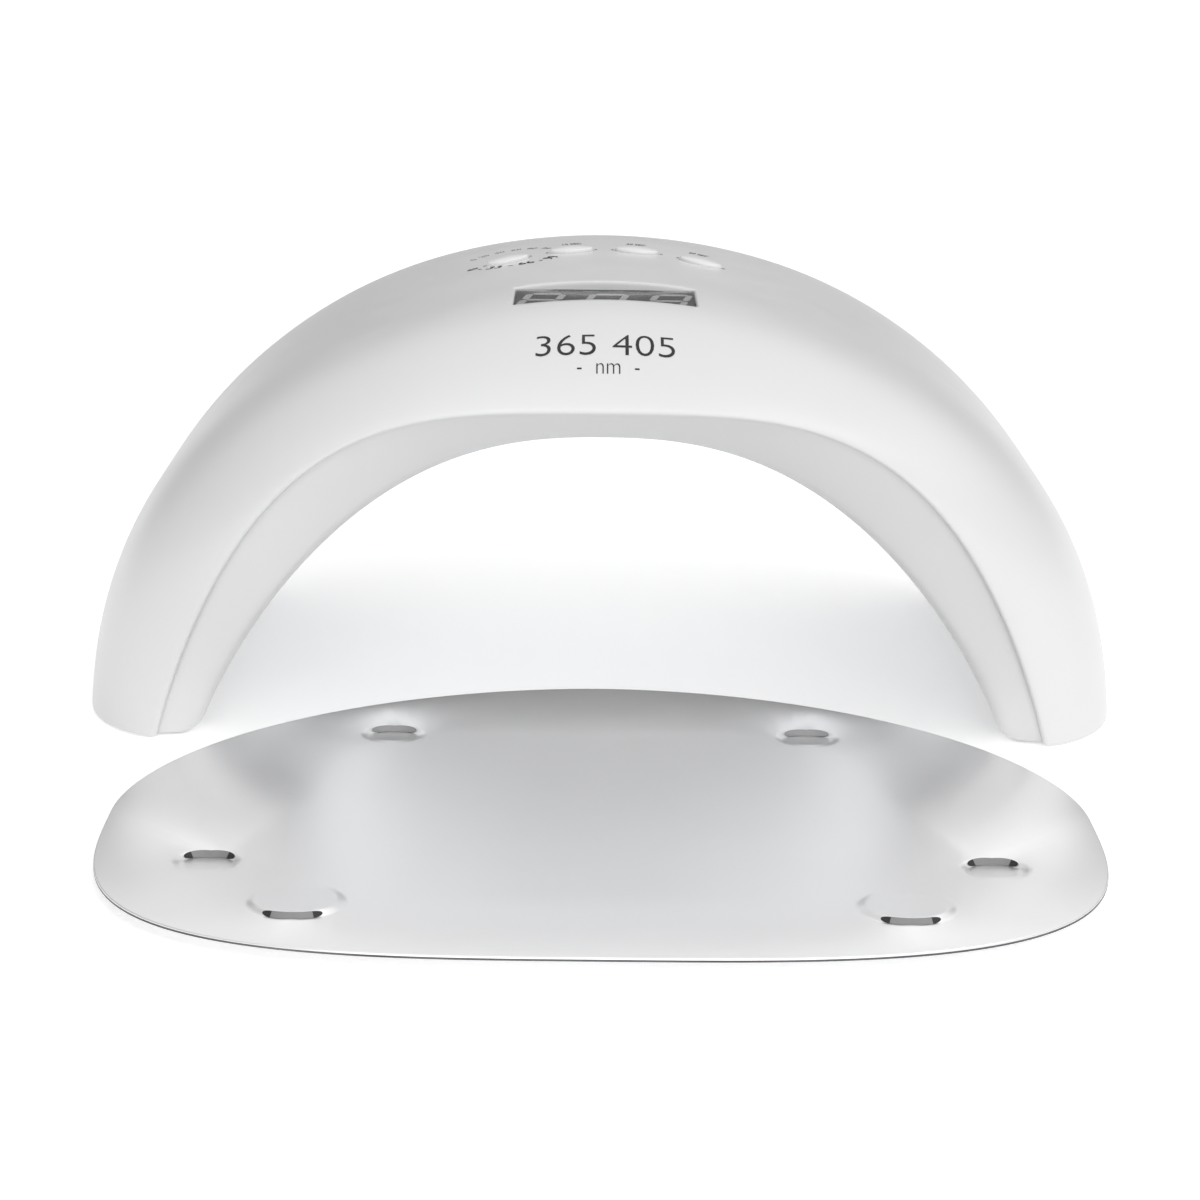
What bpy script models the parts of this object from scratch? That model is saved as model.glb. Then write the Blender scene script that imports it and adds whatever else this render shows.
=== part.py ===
"""UV curing lamp: a white arched housing that stands on two feet, and a separate steel base tray.

Metres, +Z up, +X to the right, -Y towards the front. The origin is on the floor, in the middle
of the whole object. The housing is swept along three arch curves, crest, rim and lip, which
share one parameter u that runs from -1 at the left foot over 0 at the top to +1 at the right foot.
"""

import math

import bmesh
import bpy
from mathutils import Matrix, Vector

# Places of the two halves along Y
LAMP_Y = 0.04965
TRAY_Y = -0.05945

# Arch curves: half width at the floor, height, and the two powers of the curve
CREST = (0.1155, 0.0957, 1.943, 0.457)
RIM = (0.0974, 0.0782, 3.675, 0.949)
LIP = (0.0888, 0.0702, 2.456, 0.887)

# Housing
FOOT_HALF_DEPTH = 0.0624
DEPTH_PER_HEIGHT = 0.304
DOME_POWER = 4.6
DOME_FALL = 0.7
SHELL_WALL = 0.0020
SHELL_LIFT = 0.0005
ARCH_STEPS = 40
DOME_STEPS = (0.0, 0.3, 0.52, 0.68, 0.8, 0.88, 0.935, 0.972, 0.992, 1.0)
BELOW_FLOOR = 0.004

# Inner cover: two lips joined by two soles
COVER_WALL = 0.0016
LIP_SETBACK_FOOT = 0.0030
LIP_SETBACK_TOP = 0.0160
LIP_START = 0.0024
LIP_INSET = 0.0008
LIP_CORNER = 0.0032
LIP_RETURN = 0.0070
SOLE_BOTTOM = 0.0010
SOLE_TOP = 0.0030

# Reflector, strips and lamps
REFLECTOR_OUT = 0.0010
REFLECTOR_WALL = 0.0008
STRIP_OUT = 0.0032
STRIP_WALL = 0.0012
STRIP_WIDTH = 0.0120
STRIP_PLACES = {"front": -0.034, "middle": 0.0, "rear": 0.034}
LED_ARCH = (-0.74, -0.47, -0.16, 0.16, 0.47, 0.74)
LED_RADIUS = 0.0027
LED_HOLE_RADIUS = 0.0032
LED_CLEARANCE = 0.0008
LED_TIP_IN = 0.0016
SENSOR_DEPTH = 0.0170

# Display and buttons
DISPLAY_TILT = math.radians(-1.5)
DISPLAY_SIZE = (0.0376, 0.0186, 0.0076)
DISPLAY_DEPTH_PLACE = -0.0350
DISPLAY_DROP = 0.0018
WINDOW_SIZE = (0.0398, 0.0196)
LENS_THICK = 0.0006
LENS_GAP = 0.0004
BUTTON_PLACES = {"99s": (-0.0229, 0.0149, 24.0), "10s": (-0.0078, 0.0206, 9.0),
                 "30s": (0.0078, 0.0206, -9.0), "60s": (0.0229, 0.0149, -24.0)}
BUTTON_HALF = (0.0052, 0.0036)
BUTTON_PROUD = 0.0011
BUTTON_GAP = 0.0004
BUTTON_TRAVEL = 0.0008

# Control board
BOARD_SIZE = (0.0640, 0.0840, 0.0016)
BOARD_PLACE = (-0.0180, 0.0848)
SWITCH_SIZE = (0.0060, 0.0060, 0.0036)
GAP = 0.0003

# Power inlet in the rear of the dome
JACK_HEIGHT = 0.0845
JACK_FRONT = 0.0565
JACK_BODY_END = 0.0670
JACK_REAR = 0.0745
JACK_HALF = 0.0044
JACK_BARREL_RADIUS = 0.0043
JACK_HOLE_RADIUS = 0.0048

# Feet
MAGNET_PLACE = (0.0955, 0.0300)
MAGNET_RADIUS = 0.0040
SCREW_PLACE = (0.1030, 0.0170)
PAD_PLACE = (0.0985, 0.0460)
PAD_RADIUS = 0.0042
PAD_THICK = 0.0007
BOSS_RADIUS = 0.0032
BOSS_BORE_RADIUS = 0.0015

# Base tray
TRAY_HALF_WIDTH = 0.0971
TRAY_FRONT = 0.0764
TRAY_BACK = 0.0766
TRAY_FRONT_POWER = 3.58
TRAY_BACK_POWER = 1.82
TRAY_BOTTOM = 0.0020
TRAY_THICK = 0.0008
RECESS_PLACES = ((0.0754, -0.0321), (0.0452, 0.0436))
RECESS_RADIUS = 0.0062
RECESS_DEPTH = 0.0012
BUMP_PLACE = (0.0562, -0.0526)
BUMP_RADIUS = 0.0095
BUMP_HEIGHT = 0.0011

WHITE = (0.86, 0.86, 0.87)
SILVER = (0.80, 0.81, 0.83)
STEEL = (0.72, 0.73, 0.75)
DARK = (0.03, 0.03, 0.035)
LENS_BLUE = (0.72, 0.70, 0.90)
BOARD_GREEN = (0.03, 0.22, 0.10)
SMOKE = (0.18, 0.18, 0.19)


# ---------------------------------------------------------------- scene and object helpers

def clear_scene():
    for old in list(bpy.data.objects):
        bpy.data.objects.remove(old, do_unlink=True)


def finish_material(name, color, roughness, metallic=0.0):
    found = bpy.data.materials.get(name)
    if found:
        return found
    made = bpy.data.materials.new(name)
    made.use_nodes = True
    shader = made.node_tree.nodes["Principled BSDF"]
    shader.inputs["Base Color"].default_value = (*color, 1.0)
    shader.inputs["Roughness"].default_value = roughness
    shader.inputs["Metallic"].default_value = metallic
    made.diffuse_color = (*color, 1.0)
    return made


def add_object(name, mesh, material=None, parent=None):
    made = bpy.data.objects.new(name, mesh)
    bpy.context.scene.collection.objects.link(made)
    if material:
        mesh.materials.append(material)
    if parent:
        made.parent = parent
    return made


def mesh_from(bm, name, smooth=True):
    bmesh.ops.recalc_face_normals(bm, faces=bm.faces)
    mesh = bpy.data.meshes.new(name)
    bm.to_mesh(mesh)
    bm.free()
    if smooth:
        mesh.shade_smooth()
        mesh.set_sharp_from_angle(angle=math.radians(35))
    return mesh


def sheet_mesh(rows, name):
    """Open sheet through a grid of points, its faces turned by the order of the rows."""
    bm = bmesh.new()
    grid = [[bm.verts.new(point) for point in row] for row in rows]
    for first, second in zip(grid, grid[1:]):
        for corner in range(len(first) - 1):
            bm.faces.new((first[corner], second[corner], second[corner + 1], first[corner + 1]))
    mesh = bpy.data.meshes.new(name)
    bm.to_mesh(mesh)
    bm.free()
    return mesh


def prism(bm, outline, low, high):
    """Closed prism over an outline of (x, y) points."""
    bottom = [bm.verts.new((x, y, low)) for x, y in outline]
    top = [bm.verts.new((x, y, high)) for x, y in outline]
    bm.faces.new(bottom[::-1])
    bm.faces.new(top)
    for index in range(len(outline)):
        after = (index + 1) % len(outline)
        bm.faces.new((bottom[index], bottom[after], top[after], top[index]))


def turned(bm, profile, steps, place=Matrix.Identity(4)):
    """Closed solid turned about Z from (radius, height) points, first and last on the axis."""
    rings = []
    for radius, height in profile:
        if radius == 0.0:
            rings.append([bm.verts.new(place @ Vector((0.0, 0.0, height)))])
            continue
        angles = [2.0 * math.pi * step / steps for step in range(steps)]
        rings.append([bm.verts.new(place @ Vector((radius * math.cos(a), radius * math.sin(a), height)))
                      for a in angles])
    for lower, upper in zip(rings, rings[1:]):
        for step in range(steps):
            after = (step + 1) % steps
            corners = [lower[step % len(lower)], lower[after % len(lower)],
                       upper[after % len(upper)], upper[step % len(upper)]]
            bm.faces.new(list(dict.fromkeys(corners)))


def box(bm, low, high, place=Matrix.Identity(4)):
    size = [b - a for a, b in zip(low, high)]
    middle = [(a + b) / 2 for a, b in zip(low, high)]
    matrix = place @ Matrix.Translation(middle) @ Matrix.Diagonal((*size, 1.0))
    bmesh.ops.create_cube(bm, size=1.0, matrix=matrix)


def cutter(name, bm):
    made = add_object(name, mesh_from(bm, name, smooth=False))
    made.hide_render = True
    made.display_type = "WIRE"
    return made


def combine(target, other, operation):
    step = target.modifiers.new(operation.title(), "BOOLEAN")
    step.operation = operation
    step.solver = "EXACT"
    step.object = other


def thicken(target, thickness, side):
    step = target.modifiers.new("Wall", "SOLIDIFY")
    step.thickness = thickness
    step.offset = side
    step.use_even_offset = False


def circle(radius, steps, middle=(0.0, 0.0)):
    angles = [2.0 * math.pi * step / steps for step in range(steps)]
    return [(middle[0] + radius * math.cos(a), middle[1] + radius * math.sin(a)) for a in angles]


# ---------------------------------------------------------------- arch geometry

def arch_point(curve, u):
    half, height, power, fall = curve
    return half * u, height * max(1.0 - abs(u) ** power, 0.0) ** fall


def arch_steps(limit=1.0, steps=ARCH_STEPS):
    angle = math.asin(limit)
    return [math.sin(angle * (2.0 * step / steps - 1.0)) for step in range(steps + 1)]


def arch_tangent(curve, u):
    before = arch_point(curve, u - 0.002)
    after = arch_point(curve, u + 0.002)
    return Vector((after[0] - before[0], 0.0, after[1] - before[1])).normalized()


def arch_frame(curve, u, depth, outward=0.0):
    """Matrix with +Z pointing into the tunnel, +Y along the depth, at a point on a curve."""
    along = arch_tangent(curve, u)
    out = Vector((-along.z, 0.0, along.x))
    x, z = arch_point(curve, u)
    middle = Vector((x, LAMP_Y + depth, z)) + out * outward
    across = Vector((0.0, 1.0, 0.0))
    side = across.cross(-out)
    turn = Matrix((side, across, -out)).transposed().to_4x4()
    return Matrix.Translation(middle) @ turn


def rim_depth(u):
    return FOOT_HALF_DEPTH + DEPTH_PER_HEIGHT * arch_point(RIM, u)[1]


def dome_share(t):
    return 1.0 - max(1.0 - abs(t) ** DOME_POWER, 0.0) ** DOME_FALL


def shell_point(u, t):
    crest_x, crest_z = arch_point(CREST, u)
    rim_x, rim_z = arch_point(RIM, u)
    share = dome_share(t)
    return Vector((crest_x + (rim_x - crest_x) * share,
                   LAMP_Y + rim_depth(u) * t,
                   crest_z + (rim_z - crest_z) * share))


def lip_depth(u):
    height_share = arch_point(LIP, u)[1] / LIP[1]
    return rim_depth(u) - LIP_SETBACK_FOOT - (LIP_SETBACK_TOP - LIP_SETBACK_FOOT) * height_share


def down_to_floor(rows):
    """Repeats the first and last rows a little below the floor, where they are cut off."""
    def lowered(row):
        return [Vector((point.x, point.y, -BELOW_FLOOR)) for point in row]
    return [lowered(rows[0]), *rows, lowered(rows[-1])]


def floor_cutter(name, height):
    bm = bmesh.new()
    box(bm, (-0.2, -0.2, -0.05), (0.2, 0.2, height))
    return cutter(name, bm)


# ---------------------------------------------------------------- housing

def make_upper_shell(white):
    """Domed outer shell with the display window, the button holes, the inlet hole and four bosses."""
    steps = [-t for t in reversed(DOME_STEPS)] + list(DOME_STEPS[1:])
    rows = down_to_floor([[shell_point(u, t) for t in steps] for u in arch_steps()])
    shell = add_object("upper_shell", sheet_mesh(rows, "upper_shell"), white)
    thicken(shell, SHELL_WALL, -1.0)
    combine(shell, floor_cutter("shell_floor_cut", SHELL_LIFT), "DIFFERENCE")
    for number, (side_x, side_y) in enumerate(corner_signs()):
        boss = boss_solid(f"boss_guide_{number}", side_x, side_y)
        combine(shell, boss, "UNION")
    combine(shell, bores_cutter(), "DIFFERENCE")
    combine(shell, openings_cutter(), "DIFFERENCE")
    return shell


def corner_signs():
    return [(-1, -1), (1, -1), (-1, 1), (1, 1)]


def boss_solid(name, side_x, side_y):
    """Screw boss in a leg, with a web that joins it to the shell's wall."""
    bm = bmesh.new()
    x, y = SCREW_PLACE[0] * side_x, LAMP_Y + SCREW_PLACE[1] * side_y
    low, high = SOLE_TOP + GAP, 0.0120
    web_end = (CREST[0] - SHELL_WALL / 2) * side_x
    half = 0.0010
    round_part = [point for point in circle(BOSS_RADIUS, 16, (x, y))
                  if abs(point[1] - y) > half * 1.2 or (point[0] - x) * side_x < 0]
    web = [(web_end, y - half), (web_end, y + half)]
    outline = sorted_outline(round_part + web, (x + 0.0005 * side_x, y))
    prism(bm, outline, low, high)
    return cutter(name, bm)


def sorted_outline(points, middle):
    return sorted(points, key=lambda point: math.atan2(point[1] - middle[1], point[0] - middle[0]))


def bores_cutter():
    bm = bmesh.new()
    for side_x, side_y in corner_signs():
        middle = (SCREW_PLACE[0] * side_x, LAMP_Y + SCREW_PLACE[1] * side_y)
        prism(bm, circle(BOSS_BORE_RADIUS, 12, middle), 0.0, 0.0108)
    return cutter("boss_bores", bm)


def oval(half_x, half_y, steps, middle, turn):
    """Ellipse about a middle, its long axis turned from X by some degrees."""
    cosine, sine = math.cos(math.radians(turn)), math.sin(math.radians(turn))
    points = []
    for step in range(steps):
        angle = 2.0 * math.pi * step / steps
        x, y = half_x * math.cos(angle), half_y * math.sin(angle)
        points.append((middle[0] + x * cosine - y * sine, middle[1] + x * sine + y * cosine))
    return points


def display_frame():
    """Frame of the display: centre of the front plate's upper face, tipped a little to the front."""
    height = shell_point(0.0, DISPLAY_DEPTH_PLACE / rim_depth(0.0)).z
    middle = Vector((0.0, LAMP_Y + DISPLAY_DEPTH_PLACE, height - DISPLAY_DROP))
    return Matrix.Translation(middle) @ Matrix.Rotation(-DISPLAY_TILT, 4, "X")


def openings_cutter():
    bm = bmesh.new()
    half_x, half_y = WINDOW_SIZE[0] / 2, WINDOW_SIZE[1] / 2
    box(bm, (-half_x, -half_y, -0.006), (half_x, half_y, 0.012), display_frame())
    for x, depth, turn in BUTTON_PLACES.values():
        half_long, half_short = BUTTON_HALF[0] + BUTTON_GAP, BUTTON_HALF[1] + BUTTON_GAP
        outline = oval(half_long, half_short, 20, (x, LAMP_Y + depth), turn)
        prism(bm, outline, 0.088, 0.110)
    hole = Matrix.Translation((0.0, LAMP_Y + 0.066, JACK_HEIGHT)) @ Matrix.Rotation(math.radians(-90), 4, "X")
    turned(bm, [(0.0, 0.0), (JACK_HOLE_RADIUS, 0.0), (JACK_HOLE_RADIUS, 0.040), (0.0, 0.040)], 20, hole)
    return cutter("shell_openings", bm)


# ---------------------------------------------------------------- inner cover

def bezier(first, middle, last, share):
    return first * (1 - share) ** 2 + middle * (2 * share * (1 - share)) + last * share ** 2


def cover_profile(u, side):
    """One cross-section of a lip: from the parting line, round the edge and into the tunnel."""
    rim_x, rim_z = arch_point(RIM, u)
    lip_x, lip_z = arch_point(LIP, u)
    toward = Vector((lip_x - rim_x, 0.0, lip_z - rim_z)).normalized()
    rim = Vector((rim_x, side * (rim_depth(u) - LIP_START), rim_z)) + toward * LIP_INSET
    lip = Vector((lip_x, side * (lip_depth(u) - 0.0004), lip_z))
    before = lip + (rim - lip).normalized() * LIP_CORNER
    if lip.z > SHELL_LIFT:
        out = arch_frame(LIP, u, 0.0).to_3x3() @ Vector((0.0, 0.0, -1.0))
    else:
        out = Vector((math.copysign(1.0, u), 0.0, 0.0))
    after = lip + Vector((0.0, -side * LIP_CORNER, 0.0)) + out * 0.0004
    end = lip + Vector((0.0, -side * LIP_RETURN, 0.0)) + out * 0.0008
    points = [rim, before, bezier(before, lip, after, 0.33), bezier(before, lip, after, 0.67), after, end]
    return [point + Vector((0.0, LAMP_Y, 0.0)) for point in points]


def lip_ring(name, side):
    rows = down_to_floor([cover_profile(u, side) for u in arch_steps()])
    if side > 0:
        rows = [list(reversed(row)) for row in rows]
    ring = add_object(name, sheet_mesh(rows, name))
    thicken(ring, COVER_WALL, 1.0)
    return ring


def sole_outline(side):
    half = ((0.0886, 0.0575), (0.1010, 0.0575), (0.1070, 0.0500))
    front = [(side * x, LAMP_Y - depth) for x, depth in half]
    back = [(side * x, LAMP_Y + depth) for x, depth in reversed(half)]
    return front + back if side > 0 else (front + back)[::-1]


def make_inner_cover(white):
    """White frame of the tunnel: front and rear lips, joined by a flat sole in each foot."""
    cover = lip_ring("inner_cover", -1)
    cover.data.materials.append(white)
    rear = lip_ring("rear_lip_guide", 1)
    rear.hide_render = True
    rear.display_type = "WIRE"
    combine(cover, rear, "UNION")
    combine(cover, floor_cutter("cover_floor_cut", SHELL_LIFT), "DIFFERENCE")
    for side, name in ((-1, "left"), (1, "right")):
        bm = bmesh.new()
        prism(bm, sole_outline(side), SOLE_BOTTOM, SOLE_TOP)
        combine(cover, cutter(f"{name}_sole_guide", bm), "UNION")
    combine(cover, sole_holes(), "DIFFERENCE")
    return cover


def sole_holes():
    bm = bmesh.new()
    for side_x, side_y in corner_signs():
        magnet = (MAGNET_PLACE[0] * side_x, LAMP_Y + MAGNET_PLACE[1] * side_y)
        screw = (SCREW_PLACE[0] * side_x, LAMP_Y + SCREW_PLACE[1] * side_y)
        prism(bm, circle(MAGNET_RADIUS + GAP, 20, magnet), 0.0, 0.0060)
        prism(bm, circle(0.0016, 12, screw), 0.0, 0.0060)
    return cutter("sole_holes", bm)


# ---------------------------------------------------------------- reflector, strips and lamps

def tunnel_curve(outward):
    half, height, power, fall = LIP
    return half + outward, height + outward, power, fall


def make_reflector(silver):
    """Silvered liner of the tunnel, between the two lips, with a hole for each lamp."""
    curve = tunnel_curve(REFLECTOR_OUT)
    rows = []
    for u in arch_steps(0.985, 36):
        x, z = arch_point(curve, u)
        reach = lip_depth(u) - LIP_RETURN - 0.0010
        rows.append([Vector((x, LAMP_Y + reach * t, z)) for t in (-1.0, -0.33, 0.33, 1.0)])
    liner = add_object("reflector", sheet_mesh(rows, "reflector"), silver)
    thicken(liner, REFLECTOR_WALL, 1.0)
    combine(liner, reflector_holes(curve), "DIFFERENCE")
    return liner


def reflector_holes(curve):
    bm = bmesh.new()
    profile = [(0.0, -0.004), (LED_HOLE_RADIUS, -0.004), (LED_HOLE_RADIUS, 0.003), (0.0, 0.003)]
    for depth in STRIP_PLACES.values():
        for u in LED_ARCH:
            turned(bm, profile, 12, arch_frame(curve, u, depth))
    turned(bm, profile, 12, arch_frame(curve, 0.0, SENSOR_DEPTH))
    return cutter("reflector_holes", bm)


def make_led_board(name, depth, board):
    """Curved strip that carries one row of lamps behind the reflector."""
    curve = tunnel_curve(STRIP_OUT)
    half = STRIP_WIDTH / 2
    rows = []
    for u in arch_steps(0.90, 28):
        x, z = arch_point(curve, u)
        rows.append([Vector((x, LAMP_Y + depth + half * t, z)) for t in (-1.0, 1.0)])
    strip = add_object(name, sheet_mesh(rows, name), board)
    thicken(strip, STRIP_WALL, 1.0)
    return strip


def make_led(name, u, depth, lens):
    bm = bmesh.new()
    base = LED_CLEARANCE + REFLECTOR_OUT - STRIP_OUT
    tip = LED_TIP_IN
    profile = [(0.0, base), (LED_RADIUS, base), (LED_RADIUS, tip - 0.0018),
               (LED_RADIUS * 0.86, tip - 0.0008), (LED_RADIUS * 0.5, tip - 0.0002), (0.0, tip)]
    turned(bm, profile, 10, arch_frame(tunnel_curve(REFLECTOR_OUT), u, depth))
    return add_object(name, mesh_from(bm, name), lens)


def make_hand_sensor(dark):
    bm = bmesh.new()
    profile = [(0.0, -0.0030), (0.0026, -0.0030), (0.0026, 0.0004), (0.0018, 0.0010), (0.0, 0.0012)]
    turned(bm, profile, 12, arch_frame(tunnel_curve(REFLECTOR_OUT), 0.0, SENSOR_DEPTH))
    return add_object("hand_sensor", mesh_from(bm, "hand_sensor"), dark)


# ---------------------------------------------------------------- electronics

def make_control_board(green):
    bm = bmesh.new()
    half_x, half_y = BOARD_SIZE[0] / 2, BOARD_SIZE[1] / 2
    middle_y, top = LAMP_Y + BOARD_PLACE[0], BOARD_PLACE[1]
    box(bm, (-half_x, middle_y - half_y, top - BOARD_SIZE[2]), (half_x, middle_y + half_y, top))
    return add_object("control_board", mesh_from(bm, "control_board", False), green)


def make_display(dark, smoke):
    frame = display_frame()
    half_x, half_y = DISPLAY_SIZE[0] / 2, DISPLAY_SIZE[1] / 2
    bm = bmesh.new()
    box(bm, (-half_x, -half_y, -LENS_THICK - GAP - DISPLAY_SIZE[2]), (half_x, half_y, -LENS_THICK - GAP), frame)
    add_object("display_module", mesh_from(bm, "display_module", False), dark)
    bm = bmesh.new()
    half_x, half_y = WINDOW_SIZE[0] / 2 - LENS_GAP, WINDOW_SIZE[1] / 2 - LENS_GAP
    box(bm, (-half_x, -half_y, -LENS_THICK), (half_x, half_y, 0.0), frame)
    add_object("display_lens", mesh_from(bm, "display_lens", False), smoke)


def surface_height(x, depth):
    """Height of the shell over a point, found by walking along the arch."""
    low, high = -1.0, 1.0
    for _ in range(40):
        middle = (low + high) / 2
        if shell_point(middle, depth / rim_depth(middle)).x < x:
            low = middle
        else:
            high = middle
    return shell_point(low, depth / rim_depth(low)).z


def make_button(name, place, white):
    """Oval push button: a crowned cap and a stem down to its switch."""
    x, depth, turn = place
    top = surface_height(x, depth) + BUTTON_PROUD
    holder = bpy.data.objects.new(f"{name}_axis", None)
    bpy.context.scene.collection.objects.link(holder)
    holder.location = (x, LAMP_Y + depth, top)
    holder.rotation_euler.z = math.radians(turn)
    bm = bmesh.new()
    stem_end = BOARD_PLACE[1] + GAP + SWITCH_SIZE[2] + BUTTON_TRAVEL + GAP - top
    half_x, half_y = BUTTON_HALF
    rings = [(0.0014 / half_x, stem_end), (0.0014 / half_x, -0.0038), (1.0, -0.0038), (1.0, -0.0007),
             (0.94, -0.0003), (0.8, -0.0001)]
    turned(bm, [(0.0, stem_end)] + [(half_x * share, z) for share, z in rings] + [(0.0, 0.0)], 20)
    for vert in bm.verts:
        if math.hypot(vert.co.x, vert.co.y) > 0.0016:
            vert.co.y *= half_y / half_x
    return add_object(name, mesh_from(bm, name), white, holder)


def make_switch(name, place, dark):
    x, depth, _ = place
    low = BOARD_PLACE[1] + GAP
    bm = bmesh.new()
    half = SWITCH_SIZE[0] / 2
    y = LAMP_Y + depth
    box(bm, (x - half, y - half, low), (x + half, y + half, low + SWITCH_SIZE[2]))
    return add_object(name, mesh_from(bm, name, False), dark)


def make_dc_jack(dark):
    """Barrel inlet with its centre pin, open to the rear."""
    bm = bmesh.new()
    low, high = JACK_HEIGHT - JACK_HALF, JACK_HEIGHT + JACK_HALF
    box(bm, (-JACK_HALF, LAMP_Y + JACK_FRONT, low), (JACK_HALF, LAMP_Y + JACK_BODY_END, high))
    jack = add_object("dc_jack", mesh_from(bm, "dc_jack", False), dark)
    rearward = Matrix.Rotation(math.radians(-90), 4, "X")
    start = JACK_BODY_END - 0.0010
    bm = bmesh.new()
    length = JACK_REAR - start
    barrel = [(0.0, 0.0), (JACK_BARREL_RADIUS, 0.0), (JACK_BARREL_RADIUS, length), (0.0, length)]
    turned(bm, barrel, 20, Matrix.Translation((0.0, LAMP_Y + start, JACK_HEIGHT)) @ rearward)
    combine(jack, cutter("jack_barrel_guide", bm), "UNION")
    bm = bmesh.new()
    place = Matrix.Translation((0.0, LAMP_Y + JACK_REAR - 0.0095, JACK_HEIGHT)) @ rearward
    profile = [(0.0011, 0.0), (0.0030, 0.0), (0.0030, 0.0120), (0.0011, 0.0120)]
    ring_solid(bm, profile, 20, place)
    combine(jack, cutter("jack_bore", bm), "DIFFERENCE")
    return jack


def ring_solid(bm, profile, steps, place):
    """Closed ring turned about Z from a closed loop of (radius, height) points."""
    rings = []
    for radius, height in profile:
        rings.append([bm.verts.new(place @ Vector((*point, height))) for point in circle(radius, steps)])
    for lower, upper in zip(rings, rings[1:] + rings[:1]):
        for step in range(steps):
            after = (step + 1) % steps
            bm.faces.new((lower[step], lower[after], upper[after], upper[step]))


def tube(name, points, radius, material):
    """Round lead along a smooth curve through a few points, with closed ends."""
    path = smooth_path([Vector(point) for point in points], 5)
    curve = bpy.data.curves.new(name, "CURVE")
    curve.dimensions = "3D"
    curve.bevel_depth = radius
    curve.bevel_resolution = 1
    curve.use_fill_caps = True
    spline = curve.splines.new("POLY")
    spline.points.add(len(path) - 1)
    for target, point in zip(spline.points, path):
        target.co = (*point, 1.0)
    made = bpy.data.objects.new(name, curve)
    bpy.context.scene.collection.objects.link(made)
    curve.materials.append(material)
    return made


def smooth_path(points, steps):
    ends = [points[0] * 2 - points[1], *points, points[-1] * 2 - points[-2]]
    path = []
    for index in range(1, len(ends) - 2):
        a, b, c, d = ends[index - 1:index + 3]
        for step in range(steps):
            t = step / steps
            path.append(0.5 * ((2 * b) + (c - a) * t + (2 * a - 5 * b + 4 * c - d) * t ** 2
                               + (3 * b - a - 3 * c + d) * t ** 3))
    return path + [points[-1]]


def make_leads(dark):
    board_end = LAMP_Y + BOARD_PLACE[0] + BOARD_SIZE[1] / 2
    board_middle = BOARD_PLACE[1] - BOARD_SIZE[2] / 2
    tube("jack_lead", [(0.0, LAMP_Y + JACK_FRONT - 0.0006, JACK_HEIGHT),
                       (0.0, LAMP_Y + 0.0470, JACK_HEIGHT + 0.0006),
                       (0.0, LAMP_Y + 0.0360, board_middle + 0.0003),
                       (0.0, board_end + 0.0006, board_middle)], 0.0011, dark)
    strip_top = tunnel_curve(STRIP_OUT)[1] + STRIP_WALL + 0.0006
    tube("strip_lead", [(0.0, LAMP_Y + 0.0020, strip_top),
                        (0.0, LAMP_Y + 0.0010, strip_top + 0.0030),
                        (0.0, LAMP_Y - 0.0010, BOARD_PLACE[1] - BOARD_SIZE[2] - 0.0030),
                        (0.0, LAMP_Y - 0.0020, BOARD_PLACE[1] - BOARD_SIZE[2] - 0.0006)], 0.0010, dark)
    half = STRIP_WIDTH / 2
    link_height = tunnel_curve(STRIP_OUT)[1] + STRIP_WALL / 2
    for name, first, last in (("front", STRIP_PLACES["front"], 0.0), ("rear", 0.0, STRIP_PLACES["rear"])):
        start, end = LAMP_Y + first + half + 0.0006, LAMP_Y + last - half - 0.0006
        tube(f"{name}_strip_link", [(0.0, start, link_height), (0.0, (start + end) / 2, link_height + 0.0030),
                                    (0.0, end, link_height)], 0.0009, dark)


# ---------------------------------------------------------------- feet

def make_foot_parts(steel, rubber):
    names = ("front_left", "front_right", "rear_left", "rear_right")
    for name, (side_x, side_y) in zip(names, corner_signs()):
        bm = bmesh.new()
        middle = (MAGNET_PLACE[0] * side_x, LAMP_Y + MAGNET_PLACE[1] * side_y)
        prism(bm, circle(MAGNET_RADIUS, 20, middle), SOLE_BOTTOM, SOLE_BOTTOM + 0.0030)
        add_object(f"{name}_magnet", mesh_from(bm, "magnet"), steel)
        bm = bmesh.new()
        middle = (PAD_PLACE[0] * side_x, LAMP_Y + PAD_PLACE[1] * side_y)
        prism(bm, circle(PAD_RADIUS, 20, middle), 0.0, PAD_THICK)
        add_object(f"{name}_foot_pad", mesh_from(bm, "foot_pad"), rubber)
        bm = bmesh.new()
        place = Matrix.Translation((SCREW_PLACE[0] * side_x, LAMP_Y + SCREW_PLACE[1] * side_y, 0.0))
        head = SOLE_BOTTOM - GAP
        profile = [(0.0, head - 0.0006), (0.0022, head - 0.0006), (0.0025, head - 0.0003), (0.0025, head),
                   (0.0012, head), (0.0012, 0.0094), (0.0, 0.0102)]
        turned(bm, profile, 12, place)
        add_object(f"{name}_screw", mesh_from(bm, "screw"), steel)


# ---------------------------------------------------------------- base tray

def tray_outline(steps=72):
    """Rounded outline of the tray: fuller in front, more pointed behind."""
    points = []
    for step in range(steps):
        angle = 2.0 * math.pi * step / steps
        cosine, sine = math.cos(angle), math.sin(angle)
        power = TRAY_BACK_POWER if sine > 0 else TRAY_FRONT_POWER
        reach = TRAY_BACK if sine > 0 else TRAY_FRONT
        x = TRAY_HALF_WIDTH * math.copysign(abs(cosine) ** (2 / power), cosine)
        y = reach * math.copysign(abs(sine) ** (2 / power), sine)
        points.append((x, TRAY_Y + y))
    return points


def tray_spots(places):
    return [(side * x, TRAY_Y + y) for x, y in places for side in (-1, 1)]


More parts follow.
